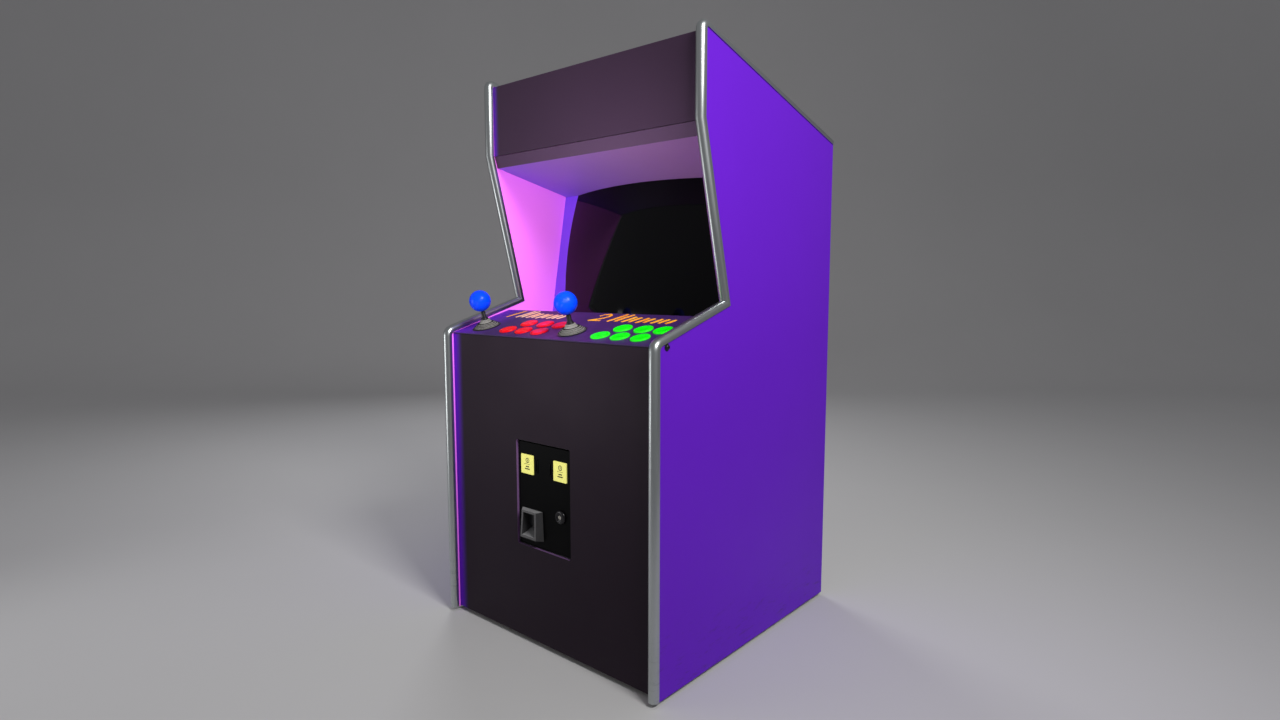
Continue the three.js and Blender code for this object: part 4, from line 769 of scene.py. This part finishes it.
for side in ("left", "right"):
    pivot = panel_axes.inverted() @ Vector(joints[f"{side}_stick_forward"]["pos_m"])
    place = panel_axes @ Matrix.Translation((pivot.x, pivot.y, 0))
    pivot_place = panel_axes @ Matrix.Translation(pivot)

    washer = turned([(23, 0.1), (43.2, 0.1), (43.6, 0.5), (43.2, 0.9), (23, 1.1)], 64, closed=True)
    washer.transform(place)
    new_piece(f"{side}_dust_washer", washer, [washer_and_shadow_black], "control_panel", ())

    crown = [(19.5 - 8.5 * i / 8, pivot.z + math.sqrt(25.5 ** 2 - (19.5 - 8.5 * i / 8) ** 2))
             for i in range(9)]
    ribs = [(24, 1.2), (37.6, 1.2)]
    for radius, height in rib_edges:
        ribs += [(radius - 1.6, height - 2.4), (radius - 0.2, height - 1.9), (radius, height - 1.2),
                 (radius - 0.4, height - 0.5), (radius - 2.9, height)]
    boot = turned([*ribs, (20.6, 14.2), *crown, (11, 17.5), (24, 7)], 64, closed=True)
    # Only the rib edges and the crown keep the grey rubber. The rest of the ribbed skirt takes the painted
    # shade.
    for face in boot.faces:
        spot = face.calc_center_median()
        reach = math.hypot(spot.x, spot.y)
        edge = any(radius - 1.3 < reach < radius + 0.1 for radius, _ in rib_edges)
        face.material_index = 1 if reach > 20 and not edge else 0
    boot.transform(place)
    new_piece(f"{side}_rubber_boot", boot, [boot_rubber, shaded_boot_rubber], "control_panel",
              [f"{side}_stick_boot"], sharp=50.0)

    cap_under = [(6.5 + 8.5 * i / 6, math.sqrt(26 ** 2 - (6.5 + 8.5 * i / 6) ** 2)) for i in range(7)]
    shaft = turned([(0, -36), (5.2, -36), (6, -35.2), (6, -31), (5, -30.6), (5, -29.4), (6, -29), (6, 25),
                    *cap_under, (15.3, 22), (15.3, 23.6), (14.4, 24.5), (11.4, 25.4), (10.4, 27),
                    (10, 30.2), (9.2, 31.8), (7.2, 32.6), (6.6, 33.6), (6.5, 49), (5.9, 49.8), (5, 50.2),
                    (5, 67.5), (0, 67.5)], 40)
    pin = turned([(0, -10.2), (2, -10.2), (2.4, -9.8), (2.4, 9.8), (2, 10.2), (0, 10.2)], 20)
    pin.transform(to_front)
    shaft = joined(shaft, pin)
    for face in shaft.faces:
        spot = face.calc_center_median()
        face.material_index = 1 if math.hypot(spot.x, spot.y) > 11 and spot.z > 20 else 0
    shaft.transform(pivot_place)
    new_piece(f"{side}_shaft", shaft, [black_steel, boot_rubber], f"{side}_stick",
              [f"{side}_stick_shaft"], sharp=45.0)

    radius, bore = 32.25, 5.3
    start = math.asin(bore / radius)
    arc = [start + (math.pi - start) * i / 36 for i in range(37)]
    ball = turned([(0, 17 - radius), (bore, 17 - radius)]
                  + [(radius * math.sin(angle), -radius * math.cos(angle)) for angle in arc[:-1]]
                  + [(0, radius)], 72)
    ball.transform(place @ Matrix.Translation((0, 0, 82)))
    new_piece(f"{side}_ball", ball, [ball_blue], f"{side}_stick", [f"{side}_ball_top"],
              sharp=50.0)

    eased_piece(f"{side}_housing", f"{side}_stick_housing", [zinc_plate], "control_panel",
                0.0006)
    eased_piece(f"{side}_gimbal_ring", f"{side}_stick_gimbal", [zinc_plate], f"{side}_gimbal",
                0.0004)
    nuts = []
    for x in (-50, 50):
        for y in (-34, 34):
            nut = turned([(0, -10), (5, -10), (5.4, -9.4), (5.4, -6.6), (0, -6.4)], 6)
            nut.transform(Matrix.Translation((x, y, 0)))
            nuts.append(nut)
    nuts = joined(*nuts)
    nuts.transform(place)
    new_piece(f"{side}_housing_nuts", nuts, [zinc_plate], "control_panel", (), sharp=20.0)
    switches = []
    for quarter in range(4):
        case = block((30.2, -10, -38), (36.8, 10, -27), 0.7)
        case.transform(Matrix.Rotation(quarter * math.pi / 2, 4, "Z"))
        if quarter % 2:
            case.transform(Matrix.Diagonal((1, 0.72, 1, 1)))
        switches.append(case)
    switches = joined(*switches)
    switches.transform(place)
    new_piece(f"{side}_stick_switches", switches, [moulded_black], "control_panel", ())


# ------------------------------------------------------------------ coin door
# The coin door is a pressed steel sheet with folded edges, powder-coated gloss black. It swings on
# its left edge inside a steel frame that is screwed behind the kick panel.
coin_hinge = Vector(joints["coin_door_hinge"]["pos_m"])
hinge_to_middle = 106
coin_axes = Matrix.Translation(coin_hinge + Vector((hinge_to_middle * MM, 0, 0))) @ Matrix.Scale(MM, 4)
door_black = finish("door_black", (0.0012, 0.0012, 0.0014), (0.0016, 0.0016, 0.0019), 0.3,
                    grain=800.0, relief=0.10, rub=60.0, rub_colour=(0.003, 0.003, 0.004), shine=0.04)
eased_piece("coin_frame", "coin_door_frame", [black_steel], "cabinet", 0.0006)
eased_piece("coin_door_sheet", "coin_door", [door_black], "coin_door", 0.0006)

# The two slot plates are small black bezels pressed round the coin slots.
coin_slots = {"left": -31, "right": 28}
coin_row = 84.5
bezels = joined(*[
    block((x + left, -1.4, foot), (x + right, -0.02, top), 0.4)
    for x in coin_slots.values()
    for left, right, foot, top in ((-6, -1.9, 66, 103), (1.9, 6, 66, 103), (-6, 6, 100.2, 104),
                                   (-6, 6, 65, 68.8))])
bezels.transform(coin_axes)
new_piece("coin_slot_bezels", bezels, [door_black], "coin_door", ())


# ------------------------------------------------------------------ reject buttons
# Two translucent yellow push plates return a jammed coin. Their glow is painted into the plates as a faint
# emission; no lamp is drawn behind them. Each is printed with a dark coin sign, a thin rule and two short
# bars.
def look(name, colour, shade, roughness, **settings):
    """A finish that also sets sockets of the shader by their own names."""
    sockets = settings.pop("sockets", {})
    material = finish(name, colour, shade, roughness, **settings)
    shader = material.node_tree.nodes["Principled BSDF"]
    for socket, value in sockets.items():
        shader.inputs[socket].default_value = value
    return material


# A faint yellow emission paints the plates' glow.
glowing_reject_yellow = look("glowing_reject_yellow", (0.95, 0.92, 0.24), (0.93, 0.88, 0.20), 0.35,
                     smudge=30.0, grain=500.0, relief=0.05, shine=0.2,
                     sockets={"Emission Color": (0.96, 0.93, 0.28, 1), "Emission Strength": 0.25})
print_ink = finish("print_ink", (0.030, 0.028, 0.012), (0.05, 0.047, 0.02), 0.5, grain=600.0, relief=0.1)


def edges_along_y(bm):
    """The edges that run from front to back."""
    return [edge for edge in bm.edges if abs((edge.verts[0].co - edge.verts[1].co).y) > 1]


def printed_ring(outer, inner, steps=40):
    """A flat printed ring that faces the front."""
    ring = turned([(inner, 0), (outer, 0), (outer, 0.12), (inner, 0.12)], steps, closed=True)
    ring.transform(to_front)
    return ring


for side, x in (("left", -69), ("right", 66)):
    node = f"{side}_reject_button"
    plate = block((-25.7, 0, -27.7), (25.7, 15, 27.7))
    ease_edges(plate, edges_along_y(plate), 2.0, 4)
    front = [edge for edge in plate.edges if all(vert.co.y < 0.01 for vert in edge.verts)]
    ease_edges(plate, front, 0.8, 3)
    plate.transform(coin_axes @ Matrix.Translation((x, -3, coin_row)))
    new_piece(f"{side}_reject_plate", plate, [glowing_reject_yellow], node, [node],
              weighted=True)
    sign = printed_ring(7.6, 5.4)
    sign = joined(sign, block((-1.4, -0.12, -3.4), (1.4, 0, 3.4), 0.04))
    sign.transform(Matrix.Translation((2, 0, 11.5)))
    sign = joined(sign, block((-11, -0.12, 0.2), (13, 0, 1.3), 0.04),
                  block((-5, -0.12, -8.2), (9, 0, -4.8), 0.04),
                  block((-9, -0.12, -14.8), (12, 0, -11.4), 0.04))
    sign.transform(coin_axes @ Matrix.Translation((x, -3.01, coin_row)))
    new_piece(f"{side}_reject_print", sign, [print_ink], node, ())


# ------------------------------------------------------------------ coin return
# The return cup is a die-cast zinc box, tumbled and dark plated. It has a splayed surround, a square
# mouth, and a floor that slopes to the player. A steel flap hangs from a pin in the mouth. Its upward
# faces are pale zinc, a painted highlight with some rubbed wear, and its side faces are darker, painted
# shade.
cast_gunmetal = finish("cast_gunmetal", (0.125, 0.122, 0.125), (0.095, 0.093, 0.097), 0.38,
                       metallic=0.75, smudge=40.0, grain=420.0, relief=0.35, rub=90.0,
                       rub_colour=(0.34, 0.34, 0.34))
# Pale zinc for the cup's upward faces: a painted highlight.
lit_top_zinc = finish("lit_top_zinc", (0.42, 0.42, 0.43), (0.34, 0.34, 0.35), 0.42, metallic=0.4, smudge=50.0,
                   grain=420.0, relief=0.35, rub=90.0)
# Darker gunmetal for the cup's side faces: painted shade.
shaded_flank_gunmetal = finish("shaded_flank_gunmetal", (0.045, 0.044, 0.046), (0.035, 0.034, 0.036), 0.5, metallic=0.5,
                    smudge=40.0, grain=420.0, relief=0.35, rub=90.0, rub_colour=(0.12, 0.12, 0.12))


def cup_light_and_shade(face):
    if face.normal.z > 0.5:
        return 1
    return 2 if abs(face.normal.x) > 0.6 else 0


eased_piece("return_cup", "coin_return_cup", [cast_gunmetal, lit_top_zinc, shaded_flank_gunmetal], "coin_door",
            0.0012, 3, cup_light_and_shade)
eased_piece("return_flap", "coin_return_flap", [black_steel], "coin_return_flap", 0.0004)


# ------------------------------------------------------------------ coin door lock
# A cam lock: a domed ring round a bright plated plug with a keyway, and a threaded barrel through the
# door. A nut holds the steel cam, which points down while the lock is open.
lock_ring = finish("lock_ring", (0.035, 0.034, 0.036), (0.028, 0.027, 0.029), 0.2, metallic=0.9,
                   smudge=60.0, grain=700.0, relief=0.1, rub=120.0, rub_colour=(0.3, 0.3, 0.3))
lock_plug = finish("lock_plug", (0.62, 0.60, 0.54), (0.50, 0.48, 0.42), 0.26, metallic=1.0,
                   smudge=90.0, grain=900.0, relief=0.2)
lock_place = coin_axes @ Matrix.Translation((66, 0, -42))
thread = []
for turn in range(8):
    thread += [(11.6, -3.4 - turn * 2), (11.1, -4.4 - turn * 2)]
head = turned([(5.2, 4.6), (5.4, 5.4), (9.6, 5.2), (10.4, 5.7), (11.2, 6.7), (12.4, 7.1), (15, 6.9),
               (17.4, 5.9), (18.8, 4.2), (19.2, 2.4), (19.2, 0.3), (11.6, 0.3), *thread, (11.6, -20),
               (5.2, -20)], 56, closed=True)
head.transform(lock_place @ to_front)
new_piece("coin_lock_head", head, [lock_ring], "coin_lock", ["coin_lock"], sharp=40.0)
plug = block((-5, -5.2, -5), (5, 10, 5))
ease_edges(plug, edges_along_y(plug), 4.9, 8)
plug.transform(lock_place)
new_piece("coin_lock_plug", plug, [lock_plug], "coin_lock", (), sharp=40.0)
keyway = joined(block((-0.7, -5.32, -3.6), (0.7, -5.0, 3.6), 0.1),
                block((0.6, -5.32, -1.6), (1.5, -5.0, 1.0), 0.1))
keyway.transform(lock_place)
new_piece("coin_lock_keyway", keyway, [print_ink], "coin_lock", ())
cam = block((-6, 15.6, -50), (6, 18.4, 5), 1.0)
nut = turned([(0, -19.8), (7, -19.8), (7.4, -19), (7.4, -18.5), (0, -18.5)], 6)
nut.transform(to_front)
cam = joined(cam, nut)
cam.transform(lock_place)
new_piece("coin_lock_cam", cam, [zinc_plate], "coin_lock", (), sharp=25.0)


# ------------------------------------------------------------------ coin mechanisms
# Behind each slot hangs a thin coin mechanism: a die-cast case with four cover screws, a reject lever
# and a round magnet on its side.
for side, x in coin_slots.items():
    eased_piece(f"{side}_mech_case", f"{side}_coin_mech", [cast_gunmetal], "coin_door", 0.0008)
    lever = block((-13.5, 20, -6), (-11.2, 62, 2), 0.7)
    arm = block((-13.5, 52, -30), (-11.2, 60, 0), 0.7)
    magnet = turned([(0, 11.1), (9, 11.1), (9, 13.4), (8, 14), (0, 14)], 36)
    magnet.transform(Matrix.Translation((0, 42, -34)) @ to_right)
    screws = []
    for y, z in ((12, -48), (80, -48), (12, 42), (80, 42)):
        screw = turned([(0, 11.1), (3, 11.1), (2.8, 12.4), (1.4, 12.9), (0, 12.9)], 20)
        screw.transform(Matrix.Translation((0, y, z)) @ to_right)
        screws.append(screw)
    fittings = joined(lever, arm, magnet, *screws)
    fittings.transform(coin_axes @ Matrix.Translation((x, 0, coin_row)))
    new_piece(f"{side}_mech_fittings", fittings, [zinc_plate], "coin_door", ())


# ------------------------------------------------------------------ rear door
# The service door is a melamine board with sawn vents. It hangs on a steel piano hinge down its left
# edge, as seen from the front, and a cam lock holds the other edge. The hinge's knuckles turn on the
# door's outer corner and are sunk into it.
eased_piece("service_door", "rear_door", [aubergine_board], "rear_door", 0.0007)
hinge_place = Vector(joints["rear_door_hinge"]["pos_m"])
knuckle_length, hinge_bottom, hinge_top = 30, -360, 360
first_screw, screw_pitch = 30, 110
fixed_leaf = block((-20, 0.1, hinge_bottom), (-2.6, 1.2, hinge_top), 0.3)
moving_leaf = block((2.6, 0.1, hinge_bottom), (20, 1.2, hinge_top), 0.3)
for i in range((hinge_top - hinge_bottom) // knuckle_length):
    foot_z = hinge_bottom + i * knuckle_length
    knuckle = turned([(0, 0.3), (2.2, 0.3), (2.6, 0.7), (2.6, 29.3), (2.2, 29.7), (0, 29.7)], 20)
    knuckle.transform(Matrix.Translation((0, 0, foot_z)))
    if i % 2:
        moving_leaf = joined(moving_leaf, knuckle)
    else:
        fixed_leaf = joined(fixed_leaf, knuckle)
for i in range(7):
    for leaf, x in ((fixed_leaf, -12), (moving_leaf, 12)):
        screw = turned([(0, 1.1), (3.2, 1.1), (2.6, 1.9), (0, 2.1)], 20)
        screw.transform(Matrix.Translation((x, 0, hinge_bottom + first_screw + i * screw_pitch))
                        @ to_rear)
        joined(leaf, screw)
for name, leaf, body in (("hinge_leaf_fixed", fixed_leaf, "cabinet"),
                         ("hinge_leaf_moving", moving_leaf, "rear_door")):
    leaf.transform(Matrix.Translation(hinge_place) @ Matrix.Scale(MM, 4))
    new_piece(name, leaf, [zinc_plate], body, (), sharp=40.0)

lock_centre = Vector(joints["rear_lock_turn"]["pos_m"])
rear_place = Matrix.Translation(lock_centre) @ Matrix.Scale(MM, 4)
lock_head = turned([(0, 3.2), (6.8, 3.2), (7.2, 3.7), (12.4, 3.6), (13.6, 2.6), (14, 1.4), (14, 0.2),
                    (8.6, 0.2), (8.6, -24), (0, -24)], 48)
lock_head.transform(to_rear)
arm = block((-7, -23.6, -62), (7, -20.4, 6), 1.0)
lock_body = joined(lock_head, arm)
lock_body.transform(rear_place)
new_piece("rear_lock_body", lock_body, [zinc_plate], "rear_lock", ["rear_lock"], sharp=40.0)
slot_mark = block((-0.8, 3.1, -4), (0.8, 3.34, 4), 0.06)
slot_mark.transform(rear_place)
new_piece("rear_lock_keyway", slot_mark, [print_ink], "rear_lock", ())


# ------------------------------------------------------------------ mains inlet
# A moulded black three-pin mains inlet, held to the back board by two screws. Its flat plated pins
# stand inside the moulding.
eased_piece("inlet_body", "mains_inlet", [moulded_black], "cabinet", 0.0006)
inlet_low, inlet_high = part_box("mains_inlet")
inlet_centre = Vector(((inlet_low.x + inlet_high.x) / 2, back_face, (inlet_low.z + inlet_high.z) / 2))
inlet_place = Matrix.Translation(inlet_centre) @ Matrix.Scale(MM, 4)
pins = joined(block((-7.2, -15, -3.4), (-5.2, -3, 2.6), 0.3), block((5.2, -15, -3.4), (7.2, -3, 2.6), 0.3),
              block((-1, -15, 0.4), (1, -2, 5.4), 0.3))
for x in (-19, 19):
    screw = turned([(0, 2.9), (3.2, 2.9), (2.8, 3.5), (0, 3.9)], 24)
    screw.transform(Matrix.Translation((x, 0, 0)) @ to_rear)
    pins = joined(pins, screw)
pins.transform(inlet_place)
new_piece("inlet_pins", pins, [zinc_plate], "cabinet", ())


# ------------------------------------------------------------------ game board
# A green circuit board on four pillars against the left wall, with rows of black chips on plated pins
# and a few small capacitors.
board_place = Matrix.Translation(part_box("game_board")[0]) @ Matrix.Scale(MM, 4)
board_sheet = block((6, 0, 0), (8.0, 320, 280), 0.3)
for y in (12, 308):
    for z in (12, 268):
        pillar = turned([(0, 0), (4, 0), (4, 6), (0, 6)], 6)
        pillar.transform(Matrix.Translation((0, y, z)) @ to_right)
        board_sheet = joined(board_sheet, pillar)
board_sheet.transform(board_place)
new_piece("board_sheet", board_sheet, [solder_mask], "cabinet", ["game_board"])
chips, legs = [], []
for row in range(3):
    for column in range(4):
        y, z = 30 + column * 70, 40 + row * 80
        chips.append(block((9.0, y, z + 2), (12.6, y + 44, z + 18), 0.5))
        legs += [block((8.0, y + 3 + leg * 5.2, z), (10.4, y + 4.6 + leg * 5.2, z + 20), 0.2, 1)
                 for leg in range(8)]
for y, z, radius in ((24, 18, 6), (60, 18, 6), (120, 16, 5), (180, 17, 5), (250, 18, 6), (290, 120, 7)):
    can = turned([(0, 8), (radius, 8), (radius, 12.4), (radius - 0.8, 13), (0, 13)], 24)
    can.transform(Matrix.Translation((0, y, z)) @ to_right)
    legs.append(can)
chips, legs = joined(*chips), joined(*legs)
chips.transform(board_place)
legs.transform(board_place)
new_piece("board_chips", chips, [moulded_black], "cabinet", ())
new_piece("board_pins", legs, [zinc_plate], "cabinet", (), sharp=30.0)


# ------------------------------------------------------------------ power supply
# A folded tin case with nine pressed louvres in its lid. A black terminal strip with seven screws runs
# along its front.
supply_low, supply_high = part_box("power_supply")
supply_place = (Matrix.Translation(((supply_low.x + supply_high.x) / 2, supply_high.y, supply_low.z))
                @ Matrix.Scale(MM, 4))
case = block((-80, -110, 0), (80, 0, 52), 1.2)
for i in range(9):
    case = joined(case, block((-64 + i * 15, -84, 51.2), (-57 + i * 15, -24, 53.2), 0.6))
case.transform(supply_place)
new_piece("supply_case", case, [pressed_tin], "cabinet", ["power_supply"])
strip = block((-60, -125, 6), (60, -109, 12), 0.6)
for i in range(8):
    strip = joined(strip, block((-57.6 + i * 15, -124, 11.8), (-56 + i * 15, -110, 20), 0.3))
strip.transform(supply_place)
new_piece("supply_terminals", strip, [moulded_black], "cabinet", ())
terminal_screws = []
for i in range(7):
    screw = turned([(0, 12), (3.4, 12), (3.2, 14), (1.6, 14.6), (0, 14.6)], 20)
    screw.transform(Matrix.Translation((-49.4 + i * 15, -117, 0)))
    terminal_screws.append(screw)
terminal_screws = joined(*terminal_screws)
terminal_screws.transform(supply_place)
new_piece("supply_screws", terminal_screws, [zinc_plate], "cabinet", ())


# ------------------------------------------------------------------ coin box
# An open box of folded tin stands on the floor board, behind the kick panel and under the coin door.
# It catches the coins.
eased_piece("money_box", "coin_box", [pressed_tin], "cabinet", 0.0006)


# ------------------------------------------------------------------ studio and camera
# The cabinet stands on a pale seamless sweep under soft lights: a large key at the front right, a small
# wash on the left wall, a low fill under the marquee, a card at the front left for the mouldings, and
# a rim light behind.
sweep = finish("studio_sweep", (0.60, 0.595, 0.60), (0.585, 0.58, 0.585), 0.75, grain=200.0, relief=0.05,
               smudge=0.6, rub=0.5, rub_colour=(0.60, 0.595, 0.60), shine=0.1)
stage = bmesh.new()
stage_half = 7.0
bmesh.ops.create_grid(stage, x_segments=2, y_segments=2, size=stage_half)
wall_edges = [edge for edge in stage.edges if all(vert.co.y > stage_half - 0.1 for vert in edge.verts)]
wall = bmesh.ops.extrude_edge_only(stage, edges=wall_edges)
raised = [item for item in wall["geom"] if isinstance(item, bmesh.types.BMVert)]
bmesh.ops.translate(stage, verts=raised, vec=(0, 0, stage_half))
bend = [edge for edge in stage.edges
        if all(abs(v.co.y - stage_half) < 0.01 and v.co.z < 0.01 for v in edge.verts)]
ease_edges(stage, bend, 2.4, 12)
bmesh.ops.scale(stage, verts=stage.verts, vec=(2.4, 1.0, 1.0))
bmesh.ops.recalc_face_normals(stage, faces=stage.faces)
stage.transform(Matrix.Rotation(math.radians(40.7), 4, "Z"))
sweep_mesh = bpy.data.meshes.new("studio_floor")
stage.to_mesh(sweep_mesh)
stage.free()
sweep_mesh.materials.append(sweep)
sweep_mesh.shade_smooth()
floor = bpy.data.objects.new("studio_floor", sweep_mesh)
bpy.context.scene.collection.objects.link(floor)


def soft_light(name, place, target, size, power, colour, spread=180, mirrored=True):
    """A square soft box aimed at a point, out of sight and, where asked, out of reflections too."""
    lamp = bpy.data.lights.new(name, "AREA")
    lamp.shape = "SQUARE"
    lamp.size = size
    lamp.energy = power
    lamp.color = colour
    lamp.spread = math.radians(spread)
    light = bpy.data.objects.new(name, lamp)
    bpy.context.scene.collection.objects.link(light)
    light.location = place
    light.rotation_euler = (Vector(target) - Vector(place)).to_track_quat("-Z", "Y").to_euler()
    light.visible_camera = False
    light.visible_glossy = mirrored


soft_light("key_light", (2.3, -0.9, 2.7), (0.35, 0.0, 1.45), 0.9, 34, (1.0, 0.99, 0.98), 120)
soft_light("wall_wash", (0.42, -0.80, 1.32), (-0.42, 0.02, 1.15), 0.45, 2.6, (1.0, 0.98, 1.0), 90, False)
soft_light("soffit_fill", (0.2, -1.9, 0.25), (0.0, -0.1, 1.42), 0.8, 2, (1.0, 0.99, 1.0), 60, False)
soft_light("moulding_card", (-1.7, -2.3, 0.7), (0.3, -0.2, 0.9), 1.1, 5, (1.0, 1.0, 1.0), 120)
soft_light("rim_light", (-3.0, 1.8, 3.0), (0.0, 0.0, 1.2), 1.4, 45, (0.96, 0.97, 1.0), 180, False)

world = bpy.data.worlds.new("studio_world")
bpy.context.scene.world = world
world.use_nodes = True
world.node_tree.nodes["Background"].inputs["Color"].default_value = (0.82, 0.82, 0.84, 1)
world.node_tree.nodes["Background"].inputs["Strength"].default_value = 0.28
bpy.context.scene.view_settings.view_transform = "Standard"

lens = bpy.data.cameras.new("camera")
lens.sensor_width = 36
lens.lens = 20.4
camera = bpy.data.objects.new("camera", lens)
bpy.context.scene.collection.objects.link(camera)
camera.location = (1.4886, front_line - 1.3010, floor_gap + 1.0243)
yaw, pitch = math.radians(-40.75), math.radians(-5.97)
aim = Vector((math.sin(yaw) * math.cos(pitch), math.cos(yaw) * math.cos(pitch), math.sin(pitch)))
camera.rotation_euler = aim.to_track_quat("-Z", "Y").to_euler()
bpy.context.scene.camera = camera
